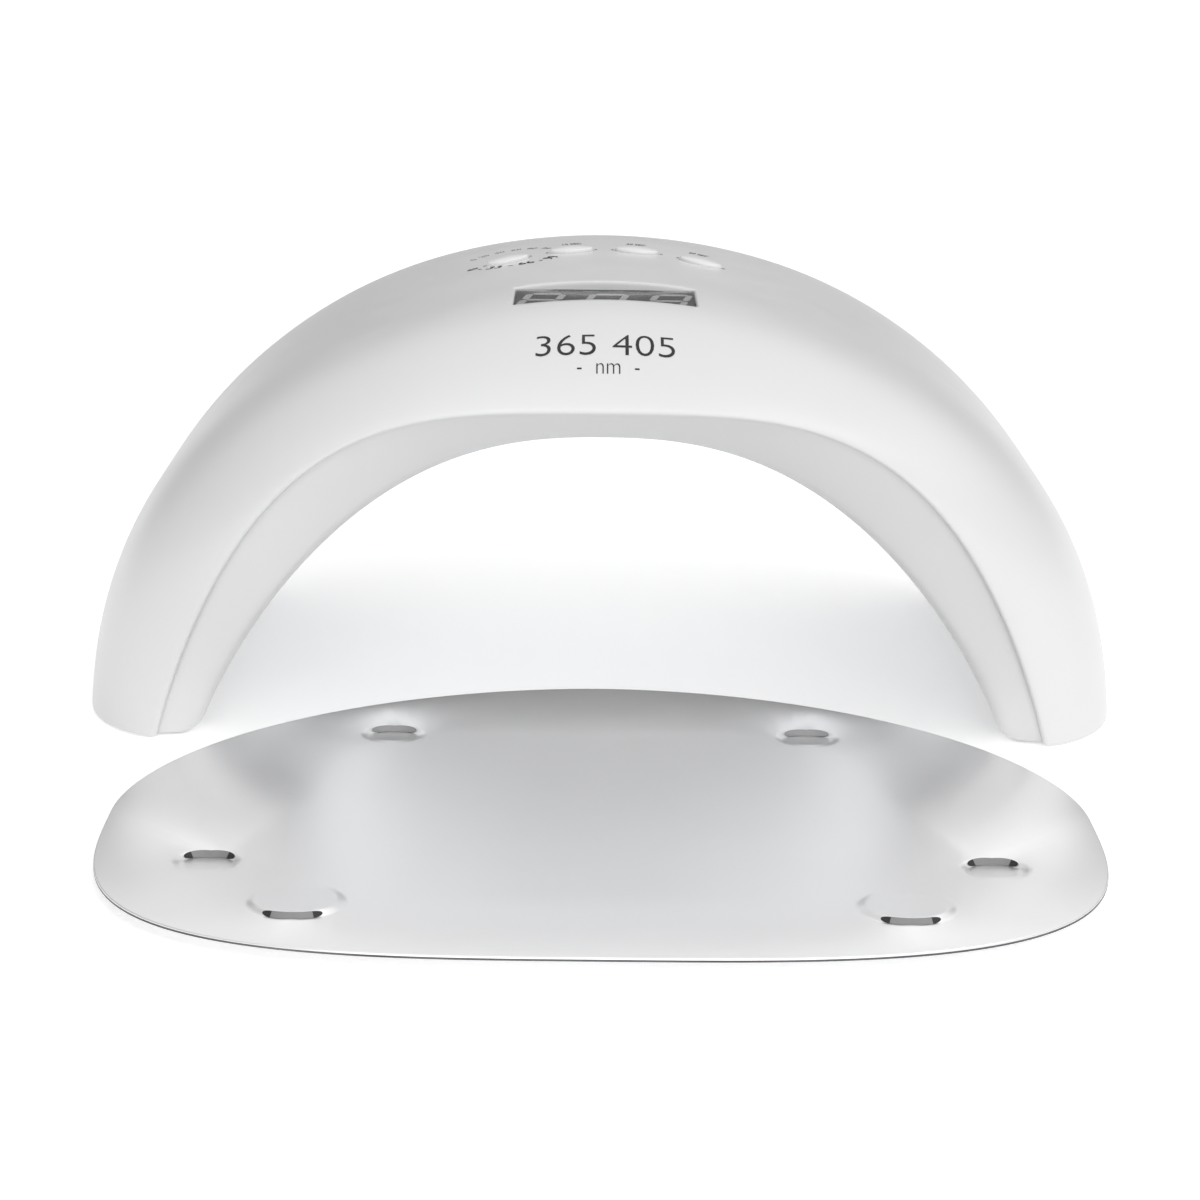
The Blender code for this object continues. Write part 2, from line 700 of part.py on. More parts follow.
def cones(name, spots, profile):
    bm = bmesh.new()
    for x, y in spots:
        turned(bm, profile, 20, Matrix.Translation((x, y, 0.0)))
    return cutter(name, bm)


def make_base_tray(steel):
    """Flat steel sheet with four pressed recesses and two raised bumps."""
    top = TRAY_BOTTOM + TRAY_THICK
    bm = bmesh.new()
    prism(bm, tray_outline(), TRAY_BOTTOM, top)
    tray = add_object("base_tray", mesh_from(bm, "base_tray", False), steel)
    slope = 0.0008
    recess, bump = tray_spots(RECESS_PLACES), tray_spots((BUMP_PLACE,))
    low, wide = TRAY_BOTTOM - RECESS_DEPTH, RECESS_RADIUS + TRAY_THICK
    combine(tray, cones("recess_outside", recess, [
        (0.0, low), (wide - slope, low), (wide, TRAY_BOTTOM + 0.0003), (0.0, TRAY_BOTTOM + 0.0003)]), "UNION")
    combine(tray, cones("recess_inside", recess, [
        (0.0, top - RECESS_DEPTH), (RECESS_RADIUS - slope, top - RECESS_DEPTH),
        (RECESS_RADIUS, top + 0.0002), (0.0, top + 0.0002)]), "DIFFERENCE")
    high = top + BUMP_HEIGHT
    combine(tray, cones("bump_outside", bump, [
        (0.0, top - 0.0003), (BUMP_RADIUS, top - 0.0003), (BUMP_RADIUS - 0.0014, high), (0.0, high)]), "UNION")
    combine(tray, cones("bump_inside", bump, [
        (0.0, TRAY_BOTTOM - 0.0002), (BUMP_RADIUS - TRAY_THICK, TRAY_BOTTOM - 0.0002),
        (BUMP_RADIUS - TRAY_THICK - 0.0014, high - TRAY_THICK), (0.0, high - TRAY_THICK)]), "DIFFERENCE")
    return tray


def make_tray_pads(rubber):
    names = ("front_left", "front_right", "rear_left", "rear_right")
    for name, (x, y) in zip(names, tray_spots(RECESS_PLACES)):
        bm = bmesh.new()
        prism(bm, circle(RECESS_RADIUS - 0.0012, 20, (x, y)), 0.0, TRAY_BOTTOM - RECESS_DEPTH - GAP)
        add_object(f"{name}_tray_pad", mesh_from(bm, "tray_pad"), rubber)


# ---------------------------------------------------------------- the lamp

def main():
    clear_scene()
    white = finish_material("white gloss plastic", WHITE, 0.25)
    steel = finish_material("satin steel", STEEL, 0.3, 1.0)
    silver = finish_material("silvered plastic", SILVER, 0.15, 1.0)
    dark = finish_material("black plastic", DARK, 0.45)
    rubber = finish_material("grey rubber", SMOKE, 0.8)
    smoke = finish_material("smoked window", SMOKE, 0.1)
    green = finish_material("circuit board", BOARD_GREEN, 0.5)
    lens = finish_material("lamp lens", LENS_BLUE, 0.1)
    make_upper_shell(white)
    make_inner_cover(white)
    make_reflector(silver)
    for row, depth in STRIP_PLACES.items():
        make_led_board(f"{row}_led_board", depth, green)
        for number, u in enumerate(LED_ARCH, 1):
            make_led(f"{row}_led_{number}", u, depth, lens)
    make_hand_sensor(dark)
    make_control_board(green)
    make_display(dark, smoke)
    for label, place in BUTTON_PLACES.items():
        make_button(f"button_{label}", place, white)
        make_switch(f"switch_{label}", place, dark)
    make_dc_jack(dark)
    make_leads(dark)
    make_foot_parts(steel, rubber)
    make_base_tray(steel)
    make_tray_pads(rubber)


main()
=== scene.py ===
# UV nail lamp: a white arched housing on two feet, and a loose satin steel base tray in front of it.
# Metres, +Z up, -Y to the front. Places come from the loaded frame, sizes from one dictionary per piece.
import math

import bmesh
import bpy
from mathutils import Matrix, Vector


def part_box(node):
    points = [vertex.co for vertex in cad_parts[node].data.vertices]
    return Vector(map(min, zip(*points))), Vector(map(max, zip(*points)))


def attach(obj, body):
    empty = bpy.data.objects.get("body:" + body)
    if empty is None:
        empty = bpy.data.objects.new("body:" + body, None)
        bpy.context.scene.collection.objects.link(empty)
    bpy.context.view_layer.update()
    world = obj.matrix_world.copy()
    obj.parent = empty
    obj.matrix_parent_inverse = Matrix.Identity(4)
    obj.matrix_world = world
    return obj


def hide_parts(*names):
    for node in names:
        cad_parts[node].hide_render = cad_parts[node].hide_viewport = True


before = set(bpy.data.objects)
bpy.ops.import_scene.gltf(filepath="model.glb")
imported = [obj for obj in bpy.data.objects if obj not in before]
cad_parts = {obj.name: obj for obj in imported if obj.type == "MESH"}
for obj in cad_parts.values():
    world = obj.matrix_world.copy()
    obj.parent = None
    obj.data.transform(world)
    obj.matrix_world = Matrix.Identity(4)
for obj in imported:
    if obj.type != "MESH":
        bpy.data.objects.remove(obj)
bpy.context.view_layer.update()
print("frame loaded:", len(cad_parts), "nodes")


# helpers for placing and building

mergeDistance = 0.000001
cutSharpAngle = 30.0


def boxMiddle(node):
    low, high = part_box(node)
    return (low + high) / 2


def addPiece(name, mesh, finish, body, slot, *replaced):
    piece = bpy.data.objects.new(name, mesh)
    bpy.context.scene.collection.objects.link(piece)
    mesh.materials.append(finish)
    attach(piece, body)
    if replaced:
        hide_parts(*replaced)
    return piece


def addSolid(name, bm, *rest, sharpAngle=35.0):
    return addPiece(name, meshFrom(bm, name, sharpAngle), *rest)


def meshFrom(bm, name, sharpAngle=35.0):
    bmesh.ops.recalc_face_normals(bm, faces=bm.faces)
    mesh = bpy.data.meshes.new(name)
    bm.to_mesh(mesh)
    bm.free()
    mesh.shade_smooth()
    mesh.set_sharp_from_angle(angle=math.radians(sharpAngle))
    return mesh


def addGrid(bm, rows, closeColumns=False):
    # quads between neighbouring rows of points; closeColumns joins each row into a ring
    grid = [[bm.verts.new(point) for point in row] for row in rows]
    for below, above in zip(grid, grid[1:]):
        count = len(below)
        for column in range(count if closeColumns else count - 1):
            after = (column + 1) % count
            bm.faces.new((below[column], below[after], above[after], above[column]))
    return grid


def joinRings(bm, one, two):
    for index in range(len(one)):
        bm.faces.new((one[index - 1], one[index], two[index], two[index - 1]))


def closeRing(bm, ring, point):
    # triangles from a ring of corners to one point
    tip = bm.verts.new(point)
    for index, vert in enumerate(ring):
        bm.faces.new((ring[index - 1], vert, tip))


def eased(share):
    return share * share * (3.0 - 2.0 * share)


def circleAngles(count):
    return [2.0 * math.pi * step / count for step in range(count)]


def quarterAngles(steps):
    return [math.pi / 2 * step / steps for step in range(steps + 1)]


def addTurned(bm, profile, steps, place=Matrix.Identity(4)):
    # solid turned about Z from (radius, height) points, the first and last on the axis
    rings = []
    for radius, height in profile:
        angles = circleAngles(steps if radius > 0.0 else 1)
        spots = [(radius * math.cos(a), radius * math.sin(a)) for a in angles]
        rings.append([bm.verts.new(place @ Vector((x, y, height))) for x, y in spots])
    for lower, upper in zip(rings, rings[1:]):
        for step in range(steps):
            after = (step + 1) % steps
            corners = [lower[step % len(lower)], lower[after % len(lower)],
                       upper[after % len(upper)], upper[step % len(upper)]]
            bm.faces.new(list(dict.fromkeys(corners)))


def roundedEdge(radius, top, rounding, steps=5):
    # (radius, height) points over a disc's rounded upper edge, from the side to the top face
    return [(radius - rounding * (1.0 - math.cos(a)), top - rounding * (1.0 - math.sin(a)))
            for a in quarterAngles(steps)]


def roundedRectangle(halfX, halfY, corner, perCorner):
    points = []
    for signX, signY, start in ((1, -1, -90), (1, 1, 0), (-1, 1, 90), (-1, -1, 180)):
        for step in range(perCorner):
            angle = math.radians(start + 90.0 * step / (perCorner - 1))
            points.append((signX * (halfX - corner) + corner * math.cos(angle),
                           signY * (halfY - corner) + corner * math.sin(angle)))
    return points


def applyAll(piece):
    graph = bpy.context.evaluated_depsgraph_get()
    mesh = bpy.data.meshes.new_from_object(piece.evaluated_get(graph))
    piece.modifiers.clear()
    piece.data = mesh
    return mesh


def cutWith(piece, cutters):
    # cuts every closed mesh of the list out of the piece, then drops the cutters and shades it again
    guides = []
    for number, mesh in enumerate(cutters):
        guide = bpy.data.objects.new(f"guide{number}", mesh)
        bpy.context.scene.collection.objects.link(guide)
        step = piece.modifiers.new("Cut", "BOOLEAN")
        step.operation = "DIFFERENCE"
        step.solver = "EXACT"
        step.object = guide
        guides.append(guide)
    mesh = applyAll(piece)
    for guide in guides:
        bpy.data.objects.remove(guide, do_unlink=True)
    mesh.shade_smooth()
    mesh.set_sharp_from_angle(angle=math.radians(cutSharpAngle))


# helpers for finishes

noiseLow, noiseHigh = 0.3, 0.7  # the span that nearly all of the noise lies in
glossScale = 90.0


def startFinish(name):
    finish = bpy.data.materials.new(name)
    finish.use_nodes = True
    tree = finish.node_tree
    return finish, tree, tree.nodes["Principled BSDF"]


def noise(tree, scale, detail=2.0, stretch=(1.0, 1.0, 1.0)):
    where = tree.nodes.new("ShaderNodeTexCoord")
    sizing = tree.nodes.new("ShaderNodeMapping")
    sizing.inputs["Scale"].default_value = stretch
    pattern = tree.nodes.new("ShaderNodeTexNoise")
    pattern.inputs["Scale"].default_value = scale
    pattern.inputs["Detail"].default_value = detail
    tree.links.new(where.outputs["Object"], sizing.inputs["Vector"])
    tree.links.new(sizing.outputs["Vector"], pattern.inputs["Vector"])
    return pattern.outputs["Fac"]


def spread(tree, source, low, high, fromLow=noiseLow, fromHigh=noiseHigh):
    node = tree.nodes.new("ShaderNodeMapRange")
    node.inputs["From Min"].default_value = fromLow
    node.inputs["From Max"].default_value = fromHigh
    node.inputs["To Min"].default_value = low
    node.inputs["To Max"].default_value = high
    tree.links.new(source, node.inputs["Value"])
    return node.outputs["Result"]


def blendColours(tree, source, first, second):
    ramp = tree.nodes.new("ShaderNodeValToRGB")
    ramp.color_ramp.elements[0].position = noiseLow
    ramp.color_ramp.elements[1].position = noiseHigh
    ramp.color_ramp.elements[0].color = (*first, 1.0)
    ramp.color_ramp.elements[1].color = (*second, 1.0)
    tree.links.new(source, ramp.inputs["Fac"])
    return ramp.outputs["Color"]


def addBump(tree, shader, source, strength, distance):
    bump = tree.nodes.new("ShaderNodeBump")
    bump.inputs["Strength"].default_value = strength
    bump.inputs["Distance"].default_value = distance
    tree.links.new(source, bump.inputs["Height"])
    tree.links.new(bump.outputs["Normal"], shader.inputs["Normal"])


def mouldedFinish(name, look):
    # plain moulded or plated surface: slight colour drift, uneven gloss and a fine surface grain
    finish, tree, shader = startFinish(name)
    drift = noise(tree, look.get("driftScale", 25.0), 3.0)
    colour = blendColours(tree, drift, look["colour"], look["colourTo"])
    tree.links.new(colour, shader.inputs["Base Color"])
    tree.links.new(spread(tree, noise(tree, glossScale, 3.0), *look["roughness"]), shader.inputs["Roughness"])
    for socket, key, usual in (("Metallic", "metallic", 0.0), ("Specular IOR Level", "specular", 0.5),
                               ("Transmission Weight", "transmission", 0.0), ("IOR", "ior", 1.46)):
        shader.inputs[socket].default_value = look.get(key, usual)
    grain = noise(tree, look.get("grainScale", 700.0), 2.0, look.get("grainStretch", (1.0, 1.0, 1.0)))
    addBump(tree, shader, grain, look.get("grain", 0.03), look.get("grainHeight", 0.00003))
    return finish


# the arch that every housing piece follows

arch = {
    "crest": (0.1155, 0.0957, 1.943, 0.457),  # half width at the floor, height, and the curve's two powers
    "rim": (0.0974, 0.0782, 3.675, 0.949),
    "lip": (0.0882, 0.0696, 2.456, 0.887),
    "footHalfDepth": 0.0624,
    "depthPerHeight": 0.304,
    "domePower": 4.6,
    "domeFall": 0.7,
    "footFlare": 0.0016,  # the dome's foot spreads a little below this height
    "flareHeight": 0.040,
    "rimDrop": 0.0009,  # the rounded edge between the dome's end and the rim line
    "probe": 0.0004,  # step to either side when a slope is taken
    "halvings": 32,
}
lampY = boxMiddle("upper_shell").y
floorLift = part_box("upper_shell")[0].z


def archPoint(curve, u):
    half, height, power, fall = curve
    return half * u, height * max(1.0 - abs(u) ** power, 0.0) ** fall


def archSteps(count, limit=1.0):
    angle = math.asin(limit)
    return [math.sin(angle * (2.0 * step / count - 1.0)) for step in range(count + 1)]


def archOut(curve, u):
    # unit vector that points away from the tunnel, square to the curve
    step = 0.001
    reach = math.copysign(min(abs(u), 1.0 - 2.0 * step), u)
    before = archPoint(curve, reach - step)
    after = archPoint(curve, reach + step)
    return Vector((before[1] - after[1], 0.0, after[0] - before[0])).normalized()


def rimDepth(u):
    return arch["footHalfDepth"] + arch["depthPerHeight"] * archPoint(arch["rim"], u)[1]


def domeShare(t):
    return 1.0 - max(1.0 - abs(t) ** arch["domePower"], 0.0) ** arch["domeFall"]


def lifted(point):
    # keeps the foot's edge a little above the floor without moving the crest
    return Vector((point.x, point.y, floorLift + point.z * (1.0 - floorLift / arch["crest"][1])))


def crestPoint(u):
    x, z = archPoint(arch["crest"], u)
    low = max(1.0 - z / arch["flareHeight"], 0.0)
    return x + math.copysign(arch["footFlare"] * low * low, u), z


def domePoint(u, t):
    # t runs from the front rim, -1, over the crest to the rear rim, +1
    crestX, crestZ = crestPoint(u)
    rimX, rimZ = archPoint(arch["rim"], u)
    share = domeShare(t) * (1.0 - arch["rimDrop"] / math.hypot(rimX - crestX, rimZ - crestZ))
    x = crestX + (rimX - crestX) * share
    z = crestZ + (rimZ - crestZ) * share
    return Vector((x, lampY + rimDepth(u) * t, z))


def rimway(u):
    # unit vector from the crest towards the rim, in the plane of the arch
    crestX, crestZ = crestPoint(u)
    rimX, rimZ = archPoint(arch["rim"], u)
    return Vector((rimX - crestX, 0.0, rimZ - crestZ)).normalized()


def domeNormal(u, t):
    probe = arch["probe"]
    if abs(t) > 1.0 - probe:
        return Vector((0.0, math.copysign(1.0, t), 0.0))
    across = domePoint(u, t + probe) - domePoint(u, t - probe)
    along = domePoint(min(u + probe, 1.0), t) - domePoint(max(u - probe, -1.0), t)
    return along.cross(across).normalized()


def domePlace(x, depth):
    # u and t of the point of the dome over x at this depth
    low, high = -1.0, 1.0
    for _ in range(arch["halvings"]):
        middle = (low + high) / 2
        if domePoint(middle, depth / rimDepth(middle)).x < x:
            low = middle
        else:
            high = middle
    return low, depth / rimDepth(low)


def onDome(x, depth, lift=0.0):
    u, t = domePlace(x, depth)
    return domePoint(u, t) + domeNormal(u, t) * lift


# housing

housing = {
    "archCount": 300,
    "domeCount": 150,
    "rimSteps": 6,
    "wall": 0.0020,
    "rimReach": 0.0012,
    "windowSize": (0.0398, 0.0190),
    "windowCorner": 0.0007,
    "windowBulge": 0.0012,  # how far the window's rear edge bows back
    "windowEdge": 0.0006,
    "windowStep": 0.0012,
    "buttonGap": 0.00015,
    "buttonEdge": 0.00015,
    "cutDepth": 0.0040,
    "cutAngles": (25, 50, 70),  # stops on a cut's rounded edge
    "cutFlare": (0.0008, 0.000336),  # past the rounding a cutter widens by this much while it rises a little
    "cutTop": 0.0060,
    "jackHole": {"radius": 0.0048, "start": 0.066, "length": 0.040, "around": 48},
    "colour": (0.685, 0.685, 0.69),
    "colourTo": (0.70, 0.70, 0.703),
    "roughness": (0.29, 0.33),
    "grain": 0.02,
}


def domeSteps(count):
    # steps of equal length over the dome, three times finer close to the rims
    fineCount, closeBy, finer = 4000, 0.9, 3.0
    fine = [step / fineCount for step in range(fineCount + 1)]
    lengths = [0.0]
    for before, after in zip(fine, fine[1:]):
        length = (domePoint(0.0, after) - domePoint(0.0, before)).length
        lengths.append(lengths[-1] + length * (finer if after > closeBy else 1.0))
    half, place = [], 0
    for step in range(count // 2 + 1):
        target = lengths[-1] * step / (count // 2)
        while place < fineCount and lengths[place] < target:
            place += 1
        half.append(fine[place])
    return [-t for t in reversed(half[1:])] + half


def housingRow(u, steps):
    # closed section across the arch: outside, rear edge, inside, front edge
    away = rimway(u)
    drop, reach, wall = arch["rimDrop"], housing["rimReach"], housing["wall"]
    outside = [domePoint(u, t) for t in steps]
    inside = [point - domeNormal(u, t) * wall for point, t in zip(outside, steps)]
    edges = []
    for end, back in ((outside[-1], -1.0), (outside[0], 1.0)):
        arc = []
        for a in quarterAngles(housing["rimSteps"])[1:]:
            inward = Vector((0.0, back * reach * (1.0 - math.cos(a)), 0.0))
            arc.append(end + inward + away * (drop * math.sin(a)))
        edges.append(arc + [arc[-1] + Vector((0.0, back * (wall - reach), 0.0))])
    rear, front = edges
    return [lifted(point) for point in outside + rear + inside[::-1] + front[::-1]]


def wrappedCutter(name, outline, rounding):
    # upright prism, flared by a rounded edge where it meets the dome's surface
    below = housing["cutDepth"]
    levels = [(0.0, -below), (0.0, -rounding)]
    for angle in housing["cutAngles"]:
        a = math.radians(angle)
        levels.append((rounding * (1.0 - math.cos(a)), -rounding * (1.0 - math.sin(a))))
    widest = levels[-1][0] + housing["cutFlare"][0]
    levels.append((widest, levels[-1][1] + housing["cutFlare"][1]))
    levels.append((widest, housing["cutTop"]))
    bm = bmesh.new()
    rings = []
    for widen, height in levels:
        ring = []
        for index, (x, depth) in enumerate(outline):
            before, after = outline[index - 1], outline[(index + 1) % len(outline)]
            side = Vector((after[1] - before[1], before[0] - after[0])).normalized()
            surface = onDome(x + side.x * widen, depth + side.y * widen)
            ring.append(lifted(surface + Vector((0.0, 0.0, height))))
        rings.append(ring)
    grid = addGrid(bm, rings, closeColumns=True)
    middle = Vector((sum(x for x, _ in outline), sum(d for _, d in outline))) / len(outline)
    for ring, height in ((grid[0], -below), (grid[-1], housing["cutTop"])):
        closeRing(bm, ring, lifted(onDome(middle.x, middle.y) + Vector((0.0, 0.0, height))))
    return meshFrom(bm, name)


def windowOutline():
    # rectangle with small round corners whose rear edge bows back
    halfX, halfY = (size / 2 for size in housing["windowSize"])
    middle = boxMiddle("display_lens").y - lampY
    points = roundedRectangle(halfX, halfY, housing["windowCorner"], perCorner=5)
    filled = []
    for index, (x, y) in enumerate(points):
        nextX, nextY = points[(index + 1) % len(points)]
        count = max(1, round(math.hypot(nextX - x, nextY - y) / housing["windowStep"]))
        filled += [(x + (nextX - x) * step / count, y + (nextY - y) * step / count) for step in range(count)]
    bowed = []
    for x, y in filled:
        bulge = housing["windowBulge"] * max(1.0 - (x / halfX) ** 2, 0.0) * max(y / halfY, 0.0)
        bowed.append((x, middle + y + bulge))
    return bowed


def ovalOutline(label, widen):
    # oval of a button seen from above, as (x, depth)
    place = boxMiddle(f"button_{label}")
    turn = Matrix.Rotation(math.radians(button["turns"][label]), 2)
    halfX, halfY = (half + widen for half in button["half"])
    points = []
    for a in circleAngles(button["around"]):
        spot = turn @ Vector((halfX * math.cos(a), halfY * math.sin(a)))
        points.append((place.x + spot.x, place.y - lampY + spot.y))
    return points


rearward = Matrix.Rotation(math.radians(-90), 4, "X")  # turns +Z to the rear


def jackCutter():
    hole = housing["jackHole"]
    jack = boxMiddle("dc_jack")
    radius, length = hole["radius"], hole["length"]
    place = Matrix.Translation((jack.x, lampY + hole["start"], jack.z)) @ rearward
    bm = bmesh.new()
    addTurned(bm, [(0.0, 0.0), (radius, 0.0), (radius, length), (0.0, length)], hole["around"], place)
    return meshFrom(bm, "jackCutter")


def makeHousing(finish):
    bm = bmesh.new()
    steps = domeSteps(housing["domeCount"])
    grid = addGrid(bm, [housingRow(u, steps) for u in archSteps(housing["archCount"])], closeColumns=True)
    count = len(steps)
    edge = housing["rimSteps"] + 1  # points of one rounded rim
    for row in (grid[0], grid[-1]):  # closes the foot with quads from the outside to the inside
        inner = row[count + edge:count * 2 + edge][::-1]
        for index in range(count - 1):
            bm.faces.new((row[index], row[index + 1], inner[index + 1], inner[index]))
        bm.faces.new([row[count - 1], *row[count:count + edge], inner[-1]])
        bm.faces.new([row[0], inner[0], *row[count * 2 + edge:]])
    shell = addSolid("housing", bm, finish, "lamp", "white_plastic", "upper_shell")
    cutters = [wrappedCutter("windowCutter", windowOutline(), housing["windowEdge"]), jackCutter()]
    for label in button["turns"]:
        outline = ovalOutline(label, housing["buttonGap"])
        cutters.append(wrappedCutter(f"cutter{label}", outline, housing["buttonEdge"]))
    cutWith(shell, cutters)


# tunnel frame: the front and rear lips

tunnelFrame = {
    "archCount": 260,
    "start": 0.0021,  # behind the rim
    "tuck": 0.0006,
    "setbackFoot": 0.0030,
    "setbackTop": 0.0160,
    "corner": 0.0034,
    "cornerOut": 0.0003,  # how far the lip has drawn out where its round corner ends
    "return": 0.0080,
    "returnOut": 0.0008,
    "wall": 0.0014,
    "heelHeight": 0.0036,
    "heelReach": 0.0026,
}


def lipDepth(u):
    share = archPoint(arch["lip"], u)[1] / arch["lip"][1]
    foot, top = tunnelFrame["setbackFoot"], tunnelFrame["setbackTop"]
    return rimDepth(u) - foot - (top - foot) * share


def lipPoint(u):
    # the lip's curve, with a rounded heel where it comes down to the floor
    x, z = archPoint(arch["lip"], u)
    height = tunnelFrame["heelHeight"]
    if z < height:
        part = 1.0 - z / height
        x += math.copysign(tunnelFrame["heelReach"] * (1.0 - math.sqrt(max(1.0 - part * part, 0.0))), u)
    return x, z


def bezier(first, middle, last, share):
    return first * (1 - share) ** 2 + middle * (2 * share * (1 - share)) + last * share ** 2


def lipSection(u, side):
    # outside of one lip, from behind the rim, down the band, round the corner and into the tunnel
    rimX, rimZ = archPoint(arch["rim"], u)
    lipX, lipZ = lipPoint(u)
    out = archOut(arch["lip"], u)
    toward = Vector((lipX - rimX, 0.0, lipZ - rimZ)).normalized()
    start = Vector((rimX, side * (rimDepth(u) - tunnelFrame["start"]), rimZ))
    start -= toward * tunnelFrame["tuck"]
    lip = Vector((lipX, side * lipDepth(u), lipZ))
    corner, end = tunnelFrame["corner"], tunnelFrame["return"]
    before = lip + (start - lip).normalized() * corner
    after = lip + Vector((0.0, -side * corner, 0.0)) + out * tunnelFrame["cornerOut"]
    last = lip + Vector((0.0, -side * end, 0.0)) + out * tunnelFrame["returnOut"]
    bandSteps, turnSteps, returnSteps = 6, 8, 3
    band = [start.lerp(before, step / bandSteps) for step in range(bandSteps + 1)]
    turn = [bezier(before, lip, after, step / turnSteps) for step in range(1, turnSteps + 1)]
    return band + turn + [after.lerp(last, step / returnSteps) for step in range(1, returnSteps + 1)]


def lipRow(u, side):
    outside = lipSection(u, side)
    tangents = [outside[min(i + 1, len(outside) - 1)] - outside[max(i - 1, 0)] for i in range(len(outside))]
    step = 0.002
    ahead, behind = lipSection(min(u + step, 1.0), side), lipSection(max(u - step, -1.0), side)
    inside = []
    for point, tangent, one, two in zip(outside, tangents, ahead, behind):
        normal = tangent.cross(one - two).normalized() * side
        inside.append(point + normal * tunnelFrame["wall"])
    shift = Vector((0.0, lampY, 0.0))
    return [lifted(point + shift) for point in outside + inside[::-1]]


def makeTunnelFrame(finish):
    bm = bmesh.new()
    for side in (-1.0, 1.0):
        rows = [lipRow(u, side) for u in archSteps(tunnelFrame["archCount"])]
        grid = addGrid(bm, rows, closeColumns=True)
        for row in (grid[0], grid[-1]):
            half = len(row) // 2
            for index in range(half - 1):
                bm.faces.new((row[index], row[index + 1], row[-2 - index], row[-1 - index]))
    addSolid("tunnelFrame", bm, finish, "lamp", "white_plastic", "inner_cover")


# soles under the two feet

sole = {
    "inner": 0.0899,  # from the middle of the lamp
    "outer": 0.1068,
    "halfLength": 0.0572,
    "corner": 0.0030,
    "straight": 0.55,  # share of the half length after which the outer edge draws in
    "drawIn": 0.0080,
    "bottom": 0.0010,
    "top": 0.0030,
    "holes": {"magnet": (0.0043, 40), "screw": (0.0017, 24)},  # radius and number of steps
}


def makeSole(name, side, finish):
    # flat sole with rounded corners and holes for the magnets and the screws
    middle, half = (sole["inner"] + sole["outer"]) / 2, (sole["outer"] - sole["inner"]) / 2
    outline = []
    for x, y in roundedRectangle(half, sole["halfLength"], sole["corner"], perCorner=7):
        if x > 0.0:
            x -= sole["drawIn"] * max(abs(y) / sole["halfLength"] - sole["straight"], 0.0)
        outline.append((side * (middle + x), lampY + y))
    loops = [outline]
    for row in ("front", "rear"):
        for kind, (radius, count) in sole["holes"].items():
            spot = boxMiddle(f"{row}_{'left' if side < 0 else 'right'}_{kind}")
            loops.append([(spot.x + radius * math.cos(a), spot.y + radius * math.sin(a))
                          for a in circleAngles(count)])
    bm = bmesh.new()
    levels = []
    for level in (sole["bottom"], sole["top"]):
        rings = [[bm.verts.new((x, y, level)) for x, y in loop] for loop in loops]
        edges = [bm.edges.new((ring[i - 1], ring[i])) for ring in rings for i in range(len(ring))]
        bmesh.ops.triangle_fill(bm, use_beauty=True, edges=edges)
        levels.append(rings)
    for bottom, top in zip(*levels):
        joinRings(bm, bottom, top)
    addSolid(name, bm, finish, "lamp", "white_plastic")


# silvered liner and the lamps in it

liner = {
    "archCount": 150,
    "depthCount": 90,
    "out": 0.0016,
    "wall": 0.0008,
    "reach": 0.985,  # share of the arch that it covers
    "overlap": 0.0004,
    "holeRadius": 0.0032,
    "cupRadius": 0.0058,
    "cupDepth": 0.0007,
    "ledArch": (-0.74, -0.47, -0.16, 0.16, 0.47, 0.74),
    "rows": {"front": -0.034, "middle": 0.0, "rear": 0.034},
    "colour": (0.82, 0.83, 0.85),
    "colourTo": (0.86, 0.87, 0.88),
    "roughness": (0.14, 0.22),
    "metallic": 1.0,
    "grain": 0.06,
}


linerCurve = tuple(size + liner["out"] for size in arch["lip"][:2]) + arch["lip"][2:]


def linerFrame(u, depth):
    # +Z into the tunnel, +Y along the depth
    x, z = archPoint(linerCurve, u)
    out = archOut(arch["lip"], u)
    across = Vector((0.0, 1.0, 0.0))
    turn = Matrix((across.cross(-out), across, -out)).transposed().to_4x4()
    return Matrix.Translation((x, lampY + depth, z)) @ turn


def makeLiner(finish):
    # thin sheet with a shallow cup round every lamp
    depths = liner["rows"].values()
    centres = [linerFrame(u, depth).translation for depth in depths for u in liner["ledArch"]]
    count, cupWall = liner["depthCount"], liner["cupRadius"] - liner["holeRadius"]
    rows = []
    for u in archSteps(liner["archCount"], liner["reach"]):
        reach = lipDepth(u) - tunnelFrame["return"] + liner["overlap"]
        place = linerFrame(u, 0.0)
        out = place.to_3x3() @ Vector((0.0, 0.0, -1.0))
        row = []
        for step in range(count + 1):
            point = place.translation + Vector((0.0, reach * (2.0 * step / count - 1.0), 0.0))
            near = min((point - centre).length for centre in centres)
            share = min(max((liner["cupRadius"] - near) / cupWall, 0.0), 1.0)
            row.append(point + out * (liner["cupDepth"] * eased(share)))
        rows.append(row)
    bm = bmesh.new()
    addGrid(bm, rows)
    piece = addSolid("tunnelLiner", bm, finish, "lamp", "silvered_liner", "reflector")
    wall = piece.modifiers.new("Wall", "SOLIDIFY")
    wall.thickness = liner["wall"]
    wall.offset = 1.0
    applyAll(piece)


